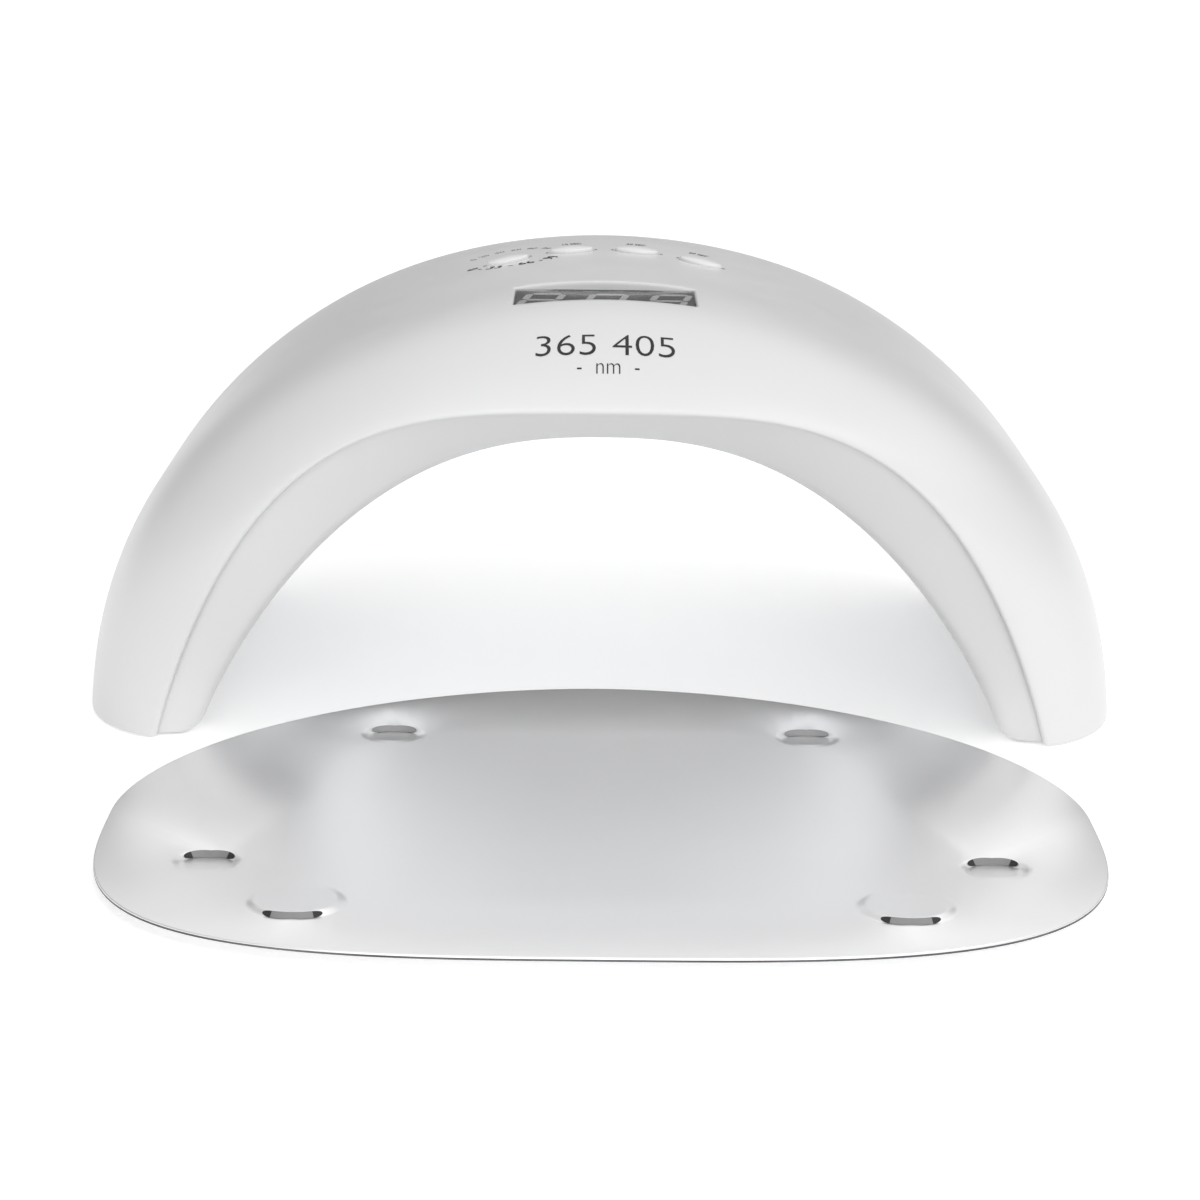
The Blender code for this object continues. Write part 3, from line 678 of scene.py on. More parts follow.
led = {
    "radius": 0.0027,
    "around": 28,
    "flange": ((0.0, -0.0009), (1.0, -0.0009), (1.0, -0.0004), (0.93, -0.0003)),  # radius share, height
    "dome": (0.84, -0.0002, 0.0018),  # share of the radius, foot, rise
    "chip": ((0.0, -0.0002), (0.0016, -0.0002), (0.0016, 0.0001), (0.0014, 0.0002), (0.0, 0.0002)),
    "chipSides": 4,
    "chipDrop": 0.0012,
    "violet": {"colour": (0.30, 0.22, 0.55), "colourTo": (0.36, 0.27, 0.62), "roughness": (0.3, 0.4)},
    "lens": {"colour": (0.86, 0.84, 0.93), "colourTo": (0.90, 0.88, 0.95), "roughness": (0.04, 0.08),
             "transmission": 0.75, "ior": 1.5, "grain": 0.0},
}


def makeLamps(lensFinish, chipFinish):
    # domed lens with a flange, and the square chip that shows through it
    radius = led["radius"]
    share, foot, rise = led["dome"]
    profile = [(radius * part, height) for part, height in led["flange"]]
    profile += [(radius * share * math.cos(a), foot + rise * math.sin(a)) for a in quarterAngles(6)[:-1]]
    profile.append((0.0, foot + rise))
    for row, depth in liner["rows"].items():
        chips = bmesh.new()
        for number, u in enumerate(liner["ledArch"], 1):
            place = linerFrame(u, depth)
            bm = bmesh.new()
            addTurned(bm, profile, led["around"], place)
            addSolid(f"{row}Lens{number}", bm, lensFinish, "lamp", "lamp_lens", f"{row}_led_{number}")
            drop = Matrix.Translation((0.0, 0.0, -led["chipDrop"]))
            addTurned(chips, led["chip"], led["chipSides"], place @ drop)
        addSolid(f"{row}Chips", chips, chipFinish, "lamp", "led_strip")


# display

display = {
    "tilt": 1.5,
    "digitHeight": 0.0148,
    "digitWidth": 0.0088,
    "digitPitch": 0.0140,
    "digitShift": -0.0008,
    "slant": 0.18,
    "stroke": 0.0015,
    "strokeGap": 0.00030,
    "digitsLow": -0.00022,
    "digitsHigh": -0.00012,
    "windowHalf": (0.0197, 0.0094),
    "moduleDepth": 0.0080,
    "windowThick": 0.0006,
    "windowBevel": 0.00012,
    "face": {"colour": (0.065, 0.065, 0.067), "colourTo": (0.08, 0.08, 0.082), "roughness": (0.5, 0.6),
             "specular": 0.2},
    "segments": {"colour": (0.48, 0.48, 0.48), "colourTo": (0.54, 0.54, 0.54), "roughness": (0.4, 0.5)},
    "window": {"colour": (0.94, 0.94, 0.94), "colourTo": (0.96, 0.96, 0.96), "roughness": (0.03, 0.06),
               "transmission": 1.0, "ior": 1.12, "grain": 0.0},
}


def displayFrame():
    # centre of the plate's upper face, tipped to the front
    tilt = math.radians(display["tilt"])
    middle = boxMiddle("display_lens")
    lift = Matrix.Translation((0.0, 0.0, display["windowThick"] / 2))
    return Matrix.Translation(middle) @ Matrix.Rotation(tilt, 4, "X") @ lift


def segmentOutlines():
    # seven bars of one digit, each a flat hexagon, about the digit's middle
    w, h = display["digitWidth"] - display["stroke"], display["digitHeight"] - display["stroke"]
    half, gap = display["stroke"] / 2, display["strokeGap"]
    bars = []
    for y in (-h / 2, 0.0, h / 2):
        ends = (-w / 2 + gap, w / 2 - gap)
        bars.append([(ends[0], y), (ends[0] + half, y - half), (ends[1] - half, y - half),
                     (ends[1], y), (ends[1] - half, y + half), (ends[0] + half, y + half)])
    for x in (-w / 2, w / 2):
        for low, high in ((-h / 2 + gap, -gap), (gap, h / 2 - gap)):
            bars.append([(x, low), (x + half, low + half), (x + half, high - half),
                         (x, high), (x - half, high - half), (x - half, low + half)])
    return bars


def windowSlab(place, high, low):
    # box as wide as the window, between two heights against the plate's upper face
    halfX, halfY = display["windowHalf"]
    size = Matrix.Diagonal((halfX * 2, halfY * 2, high - low, 1.0))
    bm = bmesh.new()
    middle = Matrix.Translation((0.0, 0.0, (low + high) / 2))
    bmesh.ops.create_cube(bm, size=1.0, matrix=place @ middle @ size)
    return bm


def makeDisplay(faceFinish, segmentFinish, windowFinish):
    # clear plate, and under it the module's dark face with the raised bars of three digits
    place = displayFrame()
    thick = display["windowThick"]
    bm = windowSlab(place, display["digitsLow"] - thick, display["digitsLow"] - display["moduleDepth"])
    addSolid("displayModule", bm, faceFinish, "lamp", "display_face", "display_module")
    bm = bmesh.new()
    for digit in (-1, 0, 1):
        for outline in segmentOutlines():
            sheared = [(x + y * display["slant"] + digit * display["digitPitch"], y + display["digitShift"])
                       for x, y in outline]
            levels = (display["digitsLow"] - thick, display["digitsHigh"] - thick)
            bottom, top = ([bm.verts.new(place @ Vector((x, y, z))) for x, y in sheared] for z in levels)
            bm.faces.new(bottom[::-1])
            bm.faces.new(top)
            joinRings(bm, bottom, top)
    addSolid("digitSegments", bm, segmentFinish, "lamp", "display_face")
    bm = windowSlab(place, 0.0, -thick)
    bevel = display["windowBevel"]
    bmesh.ops.bevel(bm, geom=bm.edges[:], offset=bevel, segments=2, affect="EDGES", profile=0.5)
    addSolid("displayWindow", bm, windowFinish, "lamp", "display_window", "display_lens", sharpAngle=5.0)


# buttons

button = {
    "half": (0.0052, 0.0036),
    "turns": {"99s": 24.0, "10s": 9.0, "30s": -9.0, "60s": -24.0},  # from left to right
    "proud": 0.0011,
    "crown": 0.0003,
    "rounding": 0.0006,
    "skirt": 0.0032,
    "stem": 0.0014,
    "around": 56,
    "topShares": (0.85, 0.65, 0.4, 0.2),
    "colour": (0.76, 0.76, 0.763),
    "colourTo": (0.775, 0.775, 0.777),
    "roughness": (0.29, 0.32),
    "grain": 0.02,
}


def makeButton(label, finish):
    # crowned oval cap that follows the dome, with the stem that reaches down to its switch
    low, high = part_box(f"button_{label}")
    middle = (low + high) / 2
    halfX, halfY = button["half"]
    turn = Matrix.Rotation(math.radians(button["turns"][label]), 3, "Z")
    proud, crown, around = button["proud"], button["crown"], circleAngles(button["around"])
    profile = [(halfX, -button["skirt"])]
    for radius, height in roundedEdge(halfX, proud, button["rounding"], 6):
        profile.append((radius, height - crown))
    last = profile[-1][0]
    profile += [(last * share, proud - crown * share ** 2) for share in button["topShares"]]
    rings = []
    for radius, height in profile:
        ring = []
        for a in around:
            spot = turn @ Vector((radius * math.cos(a), radius * math.sin(a) * halfY / halfX, 0.0)) + middle
            surface = lifted(onDome(spot.x, spot.y - lampY))
            ring.append(surface + Vector((0.0, 0.0, height)))
        rings.append(ring)
    floor = min(point.z for point in rings[0])
    radius = button["stem"]
    stem = [[Vector((middle.x + radius * math.cos(a), middle.y + radius * math.sin(a), z)) for a in around]
            for z in (low.z, floor)]
    flat = [Vector((point.x, point.y, floor)) for point in rings[0]]
    bm = bmesh.new()
    grid = addGrid(bm, [*stem, flat, *rings], closeColumns=True)
    bm.faces.new(grid[0])
    closeRing(bm, grid[-1], lifted(onDome(middle.x, middle.y - lampY)) + Vector((0.0, 0.0, proud)))
    bmesh.ops.remove_doubles(bm, verts=bm.verts, dist=mergeDistance)
    addSolid(f"timeButton{label}", bm, finish, f"button_{label}", "button_plastic", f"button_{label}")


# printed marks, and dots of painted shade at the buttons' ends

printsAndGapShade = {
    "colour": (0.012, 0.012, 0.013),
    "colourTo": (0.02, 0.02, 0.021),
    "roughness": (0.45, 0.6),
    "specular": 0.3,
    "grain": 0.0,
    "film": 0.00006,
    "fontShare": 1.4,  # size of the font for letters one unit high
    "mergeWithin": 0.00001,
    "splitOver": 0.0007,
    "splitRounds": 3,
    "main": {"text": "365 405", "size": (0.0288, 0.0076), "place": (0.0, -0.0715), "thin": 0.00012},
    "sub": {"text": "-  nm  -", "size": (0.0128, 0.0026), "place": (0.0006, -0.0790), "thin": 0.00005},
    "time": {"size": (0.0046, 0.0022), "thin": -0.00002, "turnShare": 0.7,
             "behind": {"10s": 0.0113, "30s": 0.0113, "60s": 0.0129}},
    # painted shade: dark dots just past both ends of each button, where the gap round it ends
    "dot": {"radius": 0.00035, "beside": 0.0007, "around": 14},
    "scaleMiddle": (-0.0222, 0.0190),  # the ring of numbers round the left button
    "scaleRadius": 0.0118,
    "scaleArcs": (("0  20  40  60  80  99", 0.0018, 144.5, 40.5, 0.00003),
                  ("0 - 33 - 66 - 99", 0.0030, 217.5, 333.4, -0.00004)),
}


def letterMesh(text, width, height, thin=0.0):
    # flat letters about their own middle, as wide and high as asked, split fine enough to lie on the dome
    curve = bpy.data.curves.new("letters", "FONT")
    curve.body = text
    curve.size = height * printsAndGapShade["fontShare"]
    curve.offset = -thin
    curve.resolution_u = 4
    holder = bpy.data.objects.new("letters", curve)
    bpy.context.scene.collection.objects.link(holder)
    graph = bpy.context.evaluated_depsgraph_get()
    mesh = bpy.data.meshes.new_from_object(holder.evaluated_get(graph))
    bpy.data.objects.remove(holder, do_unlink=True)
    bpy.data.curves.remove(curve)
    bm = bmesh.new()
    bm.from_mesh(mesh)
    bpy.data.meshes.remove(mesh)
    lowX, highX = (pick(vert.co.x for vert in bm.verts) for pick in (min, max))
    lowY, highY = (pick(vert.co.y for vert in bm.verts) for pick in (min, max))
    for vert in bm.verts:
        vert.co.x = (vert.co.x - (lowX + highX) / 2) * width / (highX - lowX)
        vert.co.y = (vert.co.y - (lowY + highY) / 2) * height / (highY - lowY)
    bmesh.ops.remove_doubles(bm, verts=bm.verts, dist=printsAndGapShade["mergeWithin"])
    for _ in range(printsAndGapShade["splitRounds"]):
        long = [edge for edge in bm.edges if edge.calc_length() > printsAndGapShade["splitOver"]]
        if long:
            bmesh.ops.subdivide_edges(bm, edges=long, cuts=1)
            bmesh.ops.triangulate(bm, faces=bm.faces)
    return bm


def layOnDome(bm, x, depth, turn=0.0):
    # moves flat work onto the dome, as thin as a printed film
    spin = Matrix.Rotation(turn, 2)
    for vert in bm.verts:
        spot = spin @ vert.co.xy
        vert.co = lifted(onDome(x + spot.x, depth + spot.y, printsAndGapShade["film"]))
    if sum(face.normal.z for face in bm.faces) < 0:
        bmesh.ops.reverse_faces(bm, faces=bm.faces)


def bendRound(bm, middle, radius, first, last):
    # wraps flat letters about the ring, from the first to the last angle in degrees
    sense = 1.0 if last > first else -1.0
    centre = math.radians((first + last) / 2)
    for vert in bm.verts:
        angle = centre + sense * vert.co.x / radius
        reach = radius - sense * vert.co.y
        vert.co = (middle[0] + reach * math.cos(angle), middle[1] + reach * math.sin(angle), 0.0)


def addPrintAndShade(name, parts, finish):
    # one piece from several laid-out bits of print and of painted shade
    whole = bmesh.new()
    for part in parts:
        mesh = bpy.data.meshes.new("bit")
        part.to_mesh(mesh)
        part.free()
        whole.from_mesh(mesh)
        bpy.data.meshes.remove(mesh)
    mesh = bpy.data.meshes.new(name)
    whole.to_mesh(mesh)
    whole.free()
    addPiece(name, mesh, finish, "lamp", "black_plastic")


def makePrintsAndGapShade(finish):
    for name, look in (("frontNumbers", printsAndGapShade["main"]), ("frontUnit", printsAndGapShade["sub"])):
        letters = letterMesh(look["text"], *look["size"], look["thin"])
        layOnDome(letters, *look["place"])
        addPrintAndShade(name, [letters], finish)
    time, dot = printsAndGapShade["time"], printsAndGapShade["dot"]
    for label, degrees in button["turns"].items():
        place = boxMiddle(f"button_{label}")
        turn = math.radians(degrees)
        bits = []
        if label in time["behind"]:
            letters = letterMesh(f"{label[:2]} SEC", *time["size"], time["thin"])
            layOnDome(letters, place.x, place.y - lampY + time["behind"][label], turn * time["turnShare"])
            bits.append(letters)
        # dots of painted shade at both ends of the button, where its gap ends
        for side in (-1, 1):
            spot = bmesh.new()
            bmesh.ops.create_circle(spot, cap_ends=True, segments=dot["around"], radius=dot["radius"])
            reach = side * (button["half"][0] + dot["beside"])
            layOnDome(spot, place.x + reach * math.cos(turn), place.y - lampY + reach * math.sin(turn))
            bits.append(spot)
        addPrintAndShade(f"timePrintAndGapShade{label}", bits, finish)
    rings = []
    for text, height, first, last, thin in printsAndGapShade["scaleArcs"]:
        length = math.radians(abs(last - first)) * printsAndGapShade["scaleRadius"]
        letters = letterMesh(text, length, height, thin)
        bendRound(letters, printsAndGapShade["scaleMiddle"], printsAndGapShade["scaleRadius"], first, last)
        layOnDome(letters, 0.0, 0.0)
        rings.append(letters)
    addPrintAndShade("buttonScale", rings, finish)


# power inlet in the rear of the dome

inlet = {
    "radius": 0.0043,
    "bore": 0.0031,
    "depth": 0.0095,
    "edge": 0.0004,
    "mouth": 0.0006,
    "body": (0.0046, 0.0074, 0.0076),  # radius of the part behind the barrel, and where the step to it lies
    "around": 48,
    "pin": {"radius": 0.00105, "foot": 0.0093, "shoulder": 0.0016, "tip": 0.00072, "roundness": 0.8,
            "angles": (0.4, 0.8, 1.2), "around": 24},
    "colour": (0.018, 0.018, 0.019),
    "colourTo": (0.028, 0.028, 0.03),
    "roughness": (0.38, 0.5),
}


def makeInlet(plasticFinish, metalFinish):
    # stepped barrel with a rounded mouth, and the centre pin in its bore
    low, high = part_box("dc_jack")
    middle = (low + high) / 2
    place = Matrix.Translation((middle.x, high.y, middle.z)) @ rearward
    radius, bore, edge = inlet["radius"], inlet["bore"], inlet["edge"]
    depth, length = inlet["depth"], high.y - low.y
    wide, stepFirst, stepLast = inlet["body"]
    profile = [(0.0, -depth), (bore, -depth), (bore, -edge), (bore + inlet["mouth"] / 2, -edge / 4)]
    profile += [(bore + inlet["mouth"], 0.0), (radius - edge, 0.0), (radius - edge / 4, -edge / 4)]
    profile += [(radius, -edge), (radius, -stepFirst), (wide, -stepLast), (wide, -length), (0.0, -length)]
    bm = bmesh.new()
    addTurned(bm, profile, inlet["around"], place)
    addSolid("inletBarrel", bm, plasticFinish, "lamp", "black_plastic", "dc_jack")
    pin = inlet["pin"]
    radius, foot, shoulder = pin["radius"], pin["foot"], pin["shoulder"]
    rise = radius * pin["roundness"]
    profile = [(0.0, -foot), (radius, -foot), (radius, -shoulder)]
    profile += [(radius * math.cos(a), rise * math.sin(a) - shoulder) for a in pin["angles"]]
    profile.append((0.0, -pin["tip"]))
    bm = bmesh.new()
    addTurned(bm, profile, pin["around"], place)
    addSolid("inletPin", bm, metalFinish, "lamp", "magnet_plating")


# feet: pads, magnets and screws

smallParts = {
    "rubber": {"colour": (0.15, 0.15, 0.155), "colourTo": (0.19, 0.19, 0.195), "roughness": (0.75, 0.9),
               "grain": 0.25, "grainHeight": 0.0001},
    "nickel": {"colour": (0.62, 0.61, 0.58), "colourTo": (0.70, 0.69, 0.66), "roughness": (0.16, 0.28),
               "metallic": 1.0, "grain": 0.1},
    "zinc": {"colour": (0.50, 0.50, 0.51), "colourTo": (0.58, 0.58, 0.60), "roughness": (0.28, 0.42),
             "metallic": 1.0, "grain": 0.12},
}
disc = {"around": 40, "under": 0.3, "rounding": {"foot_pad": 0.0003, "tray_pad": 0.0002, "magnet": 0.0004}}
screw = {
    "around": 32,
    "head": 0.0006,
    # shares of the head's radius and height
    "headProfile": ((1.0, 0.0), (1.0, 0.35), (0.93, 0.7), (0.75, 1.0), (0.0, 1.0)),
    "shank": (0.0012, 0.0084),
    "tip": 0.0092,
    "slot": (0.0028, 0.0006, 0.0010),
    "slotTurns": (20.0, 110.0),
}
corners = ("front_left", "front_right", "rear_left", "rear_right")
downward = Matrix.Rotation(math.pi, 4, "X")


def camel(node):
    first, *rest = node.split("_")
    return first + "".join(word.capitalize() for word in rest)


def makeDisc(corner, kind, finish, body, slot):
    # disc whose rounded edge faces down, where it shows
    node = f"{corner}_{kind}"
    low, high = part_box(node)
    middle = (low + high) / 2
    radius, height = (high.x - low.x) / 2, high.z - low.z
    rounding = disc["rounding"][kind]
    under = rounding * disc["under"]
    profile = [(0.0, 0.0), (radius - under, 0.0), (radius, under)]
    profile += roundedEdge(radius, height, rounding) + [(0.0, height)]
    bm = bmesh.new()
    place = Matrix.Translation((middle.x, middle.y, high.z)) @ downward
    addTurned(bm, profile, disc["around"], place)
    addSolid(camel(node), bm, finish, body, slot, node)


def makeScrew(node, finish):
    # pan head with a cross recess, facing down, and a plain shank
    low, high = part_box(node)
    middle = (low + high) / 2
    radius, head = (high.x - low.x) / 2, screw["head"]
    place = Matrix.Translation((middle.x, middle.y, low.z + head)) @ downward
    shank, length = screw["shank"]
    profile = [(0.0, -screw["tip"]), (shank, -length), (shank, 0.0)]
    profile += [(radius * across, head * up) for across, up in screw["headProfile"]]
    bm = bmesh.new()
    addTurned(bm, profile, screw["around"], place)
    piece = addSolid(camel(node), bm, finish, "lamp", "screw_steel", node)
    cross = []
    for turn in screw["slotTurns"]:
        bm = bmesh.new()
        slot = Matrix.Rotation(math.radians(turn), 4, "Z") @ Matrix.Diagonal((*screw["slot"], 1.0))
        bmesh.ops.create_cube(bm, size=1.0, matrix=place @ Matrix.Translation((0.0, 0.0, head)) @ slot)
        cross.append(meshFrom(bm, "cross"))
    cutWith(piece, cross)


# base tray

tray = {
    "halfWidth": 0.0983,
    "front": 0.0715,
    "back": 0.0815,
    "frontPower": 3.32,
    "backPower": 1.89,
    "outlineCount": 260,
    "thick": 0.0008,
    "edge": 0.00025,
    "edgeAngles": (30, 60, 90),
    # painted shade: a darker band round the sheet's lower edge, a hair outside the sheet: inset, and drop as
    # a share of the thickness
    "edgeShadeSection": ((0.00003, 0.45), (-0.00003, 0.5), (-0.00003, 0.95), (0.00025, 1.02), (0.0006, 1.02),
                   (0.0006, 0.5)),
    "bumpRise": 0.0011,  # the frame's bumps stand this high over the sheet
    "around": 72,
    "wallSteps": 8,
    "discReaches": (0.96, 0.8, 0.4),
    "steepWall": 0.0003,  # width of a pressed spot's wall on its steep side, and at its sides
    "sideWall": 0.0024,
    "bumpPlace": (0.0562, -0.0477),
    # disc radius, rise of the tipped disc's high or low side, which side that is, reach of the steep wall
    "bump": {"radius": 0.0074, "rise": 0.0012, "side": -1, "reach": 42},
    "recess": {"radius": 0.0049, "rise": -0.0013, "side": 1, "reach": 58},
    # films of painted dark reflection on the steep walls, as shares of the wall's height, and how far they
    # stand off it
    "film": {"middle": 0.52, "half": 0.42, "end": 0.02, "endPower": 2.6, "out": 0.00007, "up": 0.00004,
             "steps": 24, "across": (-1.0, -0.5, 0.0, 0.5, 1.0)},
    # the darkest painted reflection, at both ends of the front walls: where it starts, and how far it stands
    # off
    "tear": {"start": 0.68, "out": 0.000112},
    "colour": (0.90, 0.90, 0.903),
    "colourTo": (0.91, 0.91, 0.913),
    "roughness": (0.33, 0.345),
    "metallic": 1.0,
    "grain": 0.01,
    "grainScale": 400.0,
    "grainStretch": (0.06, 1.0, 1.0),
    # painted reflections on the steep walls: grey on the front ones, pale on the rear ones, near black at the
    # front ones' ends
    "paintedGreyReflection": {"colour": (0.20, 0.20, 0.202), "colourTo": (0.27, 0.27, 0.272), "roughness": (0.5, 0.6)},
    "paintedPaleReflection": {"colour": (0.28, 0.28, 0.282), "colourTo": (0.34, 0.34, 0.342), "roughness": (0.5, 0.6)},
    "paintedDarkReflection": {"colour": (0.012, 0.012, 0.012), "colourTo": (0.03, 0.03, 0.03), "roughness": (0.5, 0.6)},
    # painted shade on the lower part of the sheet's edge
    "paintedEdgeShade": {"colour": (0.07, 0.07, 0.072), "colourTo": (0.16, 0.16, 0.162), "roughness": (0.4, 0.5),
                "metallic": 0.6, "driftScale": 60.0},
}
trayLow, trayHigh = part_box("base_tray")
trayY = (trayLow.y + trayHigh.y) / 2 + (tray["front"] - tray["back"]) / 2
trayTop = trayHigh.z - tray["bumpRise"]


def trayOutline(inset=0.0):
    points = []
    for angle in circleAngles(tray["outlineCount"]):
        cosine, sine = math.cos(angle), math.sin(angle)
        power = tray["backPower"] if sine > 0 else tray["frontPower"]
        reach = tray["back"] if sine > 0 else tray["front"]
        x = (tray["halfWidth"] - inset) * math.copysign(abs(cosine) ** (2 / power), cosine)
        y = (reach - inset) * math.copysign(abs(sine) ** (2 / power), sine)
        points.append((x, trayY + y))
    return points


def pressedPoint(kind, spotX, spotY, angle, share, reach=1.0):
    # share runs from the sheet, 0, up the wall to the rim of the tipped disc, 1; reach goes on to its middle
    look = tray[kind]
    lean = look["side"] * math.sin(angle)
    wall = tray["steepWall"] + (tray["sideWall"] - tray["steepWall"]) * math.sqrt(1.0 - max(lean, 0.0))
    radius = (look["radius"] + wall * (1.0 - share)) * reach
    height = look["rise"] * (0.5 + 0.5 * lean * reach) * eased(share)
    return Vector((spotX + radius * math.cos(angle), spotY + radius * math.sin(angle), trayTop + height))


def pressedSpots():
    spots = []
    for corner in corners:
        middle = boxMiddle(f"{corner}_tray_pad")
        spots.append(("recess", middle.x, middle.y))
    bumpX, bumpY = tray["bumpPlace"]
    return spots + [("bump", side * bumpX, trayY + bumpY) for side in (-1, 1)]


def makeTray(finish):
    bm = bmesh.new()
    thick, edge = tray["thick"], tray["edge"]
    angles, steps = circleAngles(tray["around"]), tray["wallSteps"]
    outlines = []
    for drop in (0.0, thick):
        down = Vector((0.0, 0.0, -drop))
        verts = [bm.verts.new((x, y, trayTop - drop)) for x, y in trayOutline(edge)]
        edges = [bm.edges.new((verts[i - 1], verts[i])) for i in range(len(verts))]
        for kind, x, y in pressedSpots():
            stops = [(step / steps, 1.0) for step in range(steps + 1)]
            stops += [(1.0, reach) for reach in tray["discReaches"]]
            rows = [[pressedPoint(kind, x, y, a, *stop) + down for a in angles] for stop in stops]
            grid = addGrid(bm, rows, closeColumns=True)
            edges += [bm.edges.get((grid[0][i - 1], grid[0][i])) for i in range(len(angles))]
            closeRing(bm, grid[-1], pressedPoint(kind, x, y, 0.0, 1.0, 0.0) + down)
        bmesh.ops.triangle_fill(bm, use_beauty=True, edges=edges)
        outlines.append(verts)
    upper, lower = [], []
    for angle in tray["edgeAngles"]:
        a = math.radians(angle)
        outline, drop = trayOutline(edge * (1.0 - math.sin(a))), edge * (1.0 - math.cos(a))
        upper.append([bm.verts.new((x, y, trayTop - drop)) for x, y in outline])
        lower.append([bm.verts.new((x, y, trayTop - thick + drop)) for x, y in outline])
    rings = [outlines[0], *upper, *lower[::-1], outlines[1]]
    for outer, inner in zip(rings, rings[1:]):
        joinRings(bm, outer, inner)
    addSolid("trayPlate", bm, finish, "tray", "satin_steel", "base_tray", sharpAngle=50.0)


def makeTrayEdgeShade(finish):
    # band of painted shade round the lower part of the sheet's edge
    section = tray["edgeShadeSection"]
    rows = []
    for inset, drop in section + section[:1]:
        rows.append([Vector((x, y, trayTop - tray["thick"] * drop)) for x, y in trayOutline(inset)])
    bm = bmesh.new()
    addGrid(bm, rows, closeColumns=True)
    bmesh.ops.remove_doubles(bm, verts=bm.verts, dist=mergeDistance)
    addSolid("trayEdgeShade", bm, finish, "tray", "satin_steel", sharpAngle=50.0)


def makePaintedReflection(name, spots, finish, spans, out):
    # dull films of painted dark reflection on the steep walls, over spans of each wall's reach
    film = tray["film"]
    bm = bmesh.new()
    for kind, x, y in spots:
        look = tray[kind]
        for first, last in spans:
            rows = []
            for step in range(film["steps"] + 1):
                part = first + (last - first) * step / film["steps"]
                angle = math.radians(look["side"] * 90 + part * look["reach"])
                half = film["half"] * math.sqrt(max(1.0 - abs(part) ** film["endPower"], 0.0)) + film["end"]
                off = Vector((math.cos(angle), math.sin(angle), 0.0)) * (-out * look["side"])
                off.z = film["up"]
                rows.append([pressedPoint(kind, x, y, angle, film["middle"] + half * place) + off
                             for place in film["across"]])
            addGrid(bm, rows)
    addSolid(name, bm, finish, "tray", "satin_steel", sharpAngle=60.0)


def makePaintedReflections(greyFinish, paleFinish, darkFinish):
    # painted reflections: the rear walls are pale, the front ones grey and darkest at both ends
    front = [spot for spot in pressedSpots() if spot[2] < trayY]
    rear = [spot for spot in pressedSpots() if spot[2] > trayY]
    whole, start = ((-1.0, 1.0),), tray["tear"]["start"]
    makePaintedReflection("paintedWallReflections", front, greyFinish, whole, tray["film"]["out"])
    makePaintedReflection("rearPaintedWallReflections", rear, paleFinish, whole, tray["film"]["out"])
    makePaintedReflection("paintedWallReflectionEnds", front, darkFinish, ((start, 1.0), (-start, -1.0)), tray["tear"]["out"])


# finishes for the plain inner parts that stay as they are

innerLooks = {
    "board": {"colour": (0.02, 0.13, 0.06), "colourTo": (0.03, 0.18, 0.09), "roughness": (0.35, 0.5),
              "driftScale": 260.0, "grain": 0.1},
    "strip": {"colour": (0.72, 0.72, 0.70), "colourTo": (0.80, 0.80, 0.78), "roughness": (0.35, 0.45)},
    "sheath": {"colour": (0.03, 0.03, 0.032), "colourTo": (0.05, 0.05, 0.052), "roughness": (0.6, 0.75)},
    "sensor": {"colour": (0.04, 0.03, 0.05), "colourTo": (0.06, 0.04, 0.07), "roughness": (0.08, 0.14)},
}


def refinish(finish, *nodes):
    for node in nodes:
        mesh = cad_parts[node].data
        mesh.materials.clear()
        mesh.materials.append(finish)


# making it all

white = mouldedFinish("glossWhite", housing)
makeHousing(white)
print("housing done")
makeTunnelFrame(white)
makeSole("solePlateLeft", -1, white)
makeSole("solePlateRight", 1, white)
print("tunnel frame and soles done")
makeLiner(mouldedFinish("silveredLiner", liner))
makeLamps(mouldedFinish("clearLens", led["lens"]), mouldedFinish("violetChip", led["violet"]))
print("liner and lamps done")
makeDisplay(mouldedFinish("displayFace", display["face"]), mouldedFinish("paleSegments", display["segments"]),
            mouldedFinish("smokedWindow", display["window"]))
buttonFinish = mouldedFinish("buttonWhite", button)
for label in button["turns"]:
    makeButton(label, buttonFinish)
makePrintsAndGapShade(mouldedFinish("printInkAndGapShade", printsAndGapShade))
print("display, buttons and prints done")
black = mouldedFinish("blackPlastic", inlet)
nickel = mouldedFinish("nickelPlate", smallParts["nickel"])
rubber = mouldedFinish("greyRubber", smallParts["rubber"])
zinc = mouldedFinish("zincScrew", smallParts["zinc"])
makeInlet(black, nickel)
for corner in corners:
    makeDisc(corner, "foot_pad", rubber, "lamp", "foot_rubber")
    makeDisc(corner, "tray_pad", rubber, "tray", "foot_rubber")
    makeDisc(corner, "magnet", nickel, "lamp", "magnet_plating")
    makeScrew(f"{corner}_screw", zinc)
makeTray(mouldedFinish("satinSteel", tray))
# painted shade round the tray sheet's edge
makeTrayEdgeShade(mouldedFinish("edgeShadePaint", tray["paintedEdgeShade"]))
# painted dark reflections on the steep walls of the pressed spots
makePaintedReflections(mouldedFinish("greyReflectionPaint", tray["paintedGreyReflection"]), mouldedFinish("paleReflectionPaint", tray["paintedPaleReflection"]),
              mouldedFinish("darkReflectionPaint", tray["paintedDarkReflection"]))
print("feet and tray done")

refinish(mouldedFinish("circuitBoard", innerLooks["board"]), "control_board")
refinish(mouldedFinish("lampStrip", innerLooks["strip"]), *[f"{row}_led_board" for row in liner["rows"]])
refinish(mouldedFinish("leadSheath", innerLooks["sheath"]), "jack_lead", "strip_lead", "front_strip_link",
         "rear_strip_link")
refinish(mouldedFinish("sensorDome", innerLooks["sensor"]), "hand_sensor")
refinish(black, *[f"switch_{label}" for label in button["turns"]])
print("inner parts done")


# floor, light and camera

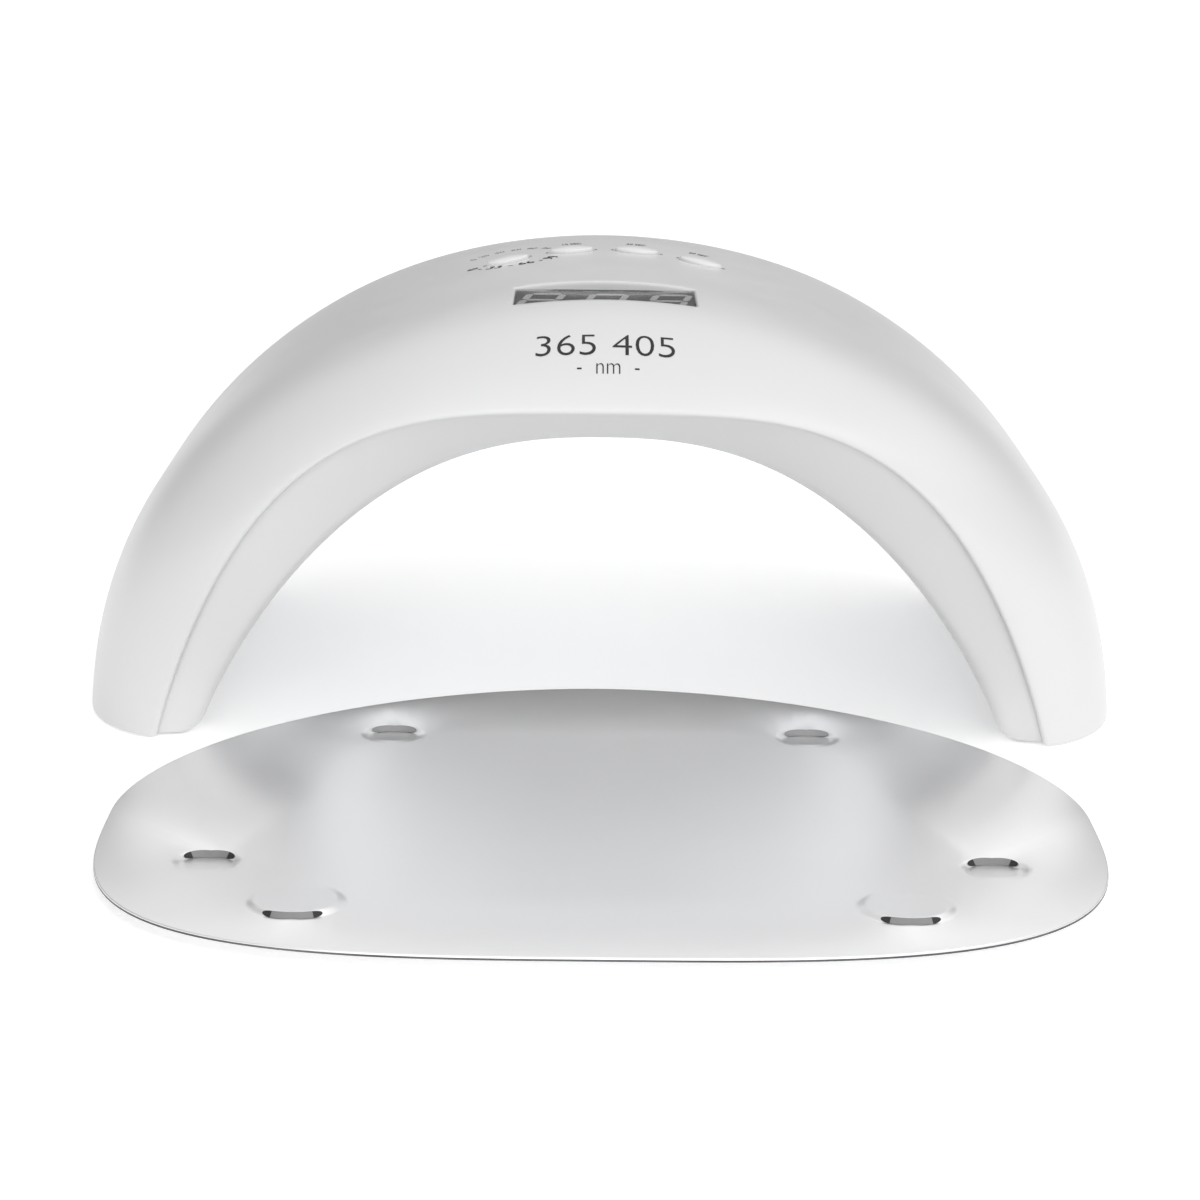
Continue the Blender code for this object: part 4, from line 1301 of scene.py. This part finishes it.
stage = {
    "floorSize": 12.0,
    "floorColour": (0.89, 0.89, 0.89),
    "floorColourTo": (0.90, 0.90, 0.90),
    "floorDriftScale": 3.0,
    "floorRoughness": 0.9,
    "floorSpecular": 0.1,
    "floorGlow": 0.34,
    "sky": ((0.0, 0.16), (0.24, 0.20), (0.42, 0.98), (0.75, 1.06)),  # height and brightness
    "sides": ((0.0, 0.50), (0.5, 1.0), (1.0, 1.0)),  # its shares from the left to the right
    "camera": (-0.00347, -0.57524, 0.19508),
    "cameraPitch": 16.111,
    "cameraYaw": -0.308,
    "cameraRoll": 0.682,
    "lens": 81.26,
    "sensor": 36.0,
    "clipStart": 0.01,
    "aimHeight": 0.04,
    "frontLight": {"place": (0.1, -2.0, 0.55), "size": 1.8, "power": 15.5},
    "keyLight": {"place": (1.1, -1.0, 1.7), "size": 1.6, "power": 7.0},
}


def makeFloor():
    bm = bmesh.new()
    half = stage["floorSize"] / 2
    bm.faces.new([bm.verts.new((x * half, y * half, 0.0)) for x, y in ((-1, -1), (1, -1), (1, 1), (-1, 1))])
    mesh = bpy.data.meshes.new("floor")
    bm.to_mesh(mesh)
    bm.free()
    floor = bpy.data.objects.new("floor", mesh)
    bpy.context.scene.collection.objects.link(floor)
    finish, tree, shader = startFinish("paleFloor")
    drift = noise(tree, stage["floorDriftScale"])
    tone = blendColours(tree, drift, stage["floorColour"], stage["floorColourTo"])
    tree.links.new(tone, shader.inputs["Base Color"])
    shader.inputs["Roughness"].default_value = stage["floorRoughness"]
    shader.inputs["Specular IOR Level"].default_value = stage["floorSpecular"]
    shader.inputs["Emission Color"].default_value = (1.0, 1.0, 1.0, 1.0)
    shader.inputs["Emission Strength"].default_value = stage["floorGlow"]
    mesh.materials.append(finish)


def greyRamp(tree, source, stops):
    # ramp through (position, grey) stops, the first and the last on its own two
    ramp = tree.nodes.new("ShaderNodeValToRGB")
    elements = ramp.color_ramp.elements
    for element, (position, grey) in ((elements[0], stops[0]), (elements[1], stops[-1])):
        element.position = position
        element.color = (grey, grey, grey, 1.0)
    for position, grey in stops[1:-1]:
        elements.new(position).color = (grey, grey, grey, 1.0)
    tree.links.new(source, ramp.inputs["Fac"])
    return ramp.outputs["Color"]


def makeSky():
    # soft dome of light that is dimmer near the horizon and on the left
    world = bpy.data.worlds.new("softDome")
    bpy.context.scene.world = world
    world.use_nodes = True
    tree = world.node_tree
    where = tree.nodes.new("ShaderNodeTexCoord")
    parts = tree.nodes.new("ShaderNodeSeparateXYZ")
    tree.links.new(where.outputs["Generated"], parts.inputs["Vector"])
    light = tree.nodes["Background"]
    tree.links.new(greyRamp(tree, parts.outputs["Z"], stage["sky"]), light.inputs["Color"])
    across = spread(tree, parts.outputs["X"], 0.0, 1.0, -1.0, 1.0)
    tree.links.new(greyRamp(tree, across, stage["sides"]), light.inputs["Strength"])


def addLight(name, look):
    light = bpy.data.lights.new(name, "AREA")
    light.shape = "DISK"
    light.size = look["size"]
    light.energy = look["power"]
    holder = bpy.data.objects.new(name, light)
    holder.location = look["place"]
    aim = Vector((0.0, lampY, stage["aimHeight"])) - holder.location
    holder.rotation_euler = aim.to_track_quat("-Z", "Y").to_euler()
    bpy.context.scene.collection.objects.link(holder)


def makeCamera():
    lens = bpy.data.cameras.new("camera")
    lens.lens = stage["lens"]
    lens.sensor_width = stage["sensor"]
    lens.clip_start = stage["clipStart"]
    camera = bpy.data.objects.new("camera", lens)
    bpy.context.scene.collection.objects.link(camera)
    turn = (Matrix.Rotation(math.radians(stage["cameraYaw"]), 4, "Z")
            @ Matrix.Rotation(math.radians(90.0 - stage["cameraPitch"]), 4, "X")
            @ Matrix.Rotation(math.radians(stage["cameraRoll"]), 4, "Z"))
    camera.matrix_world = Matrix.Translation(stage["camera"]) @ turn
    bpy.context.scene.camera = camera


makeFloor()
makeSky()
addLight("frontLight", stage["frontLight"])
addLight("keyLight", stage["keyLight"])
makeCamera()
bpy.context.scene.view_settings.view_transform = "Standard"
print("stage done")
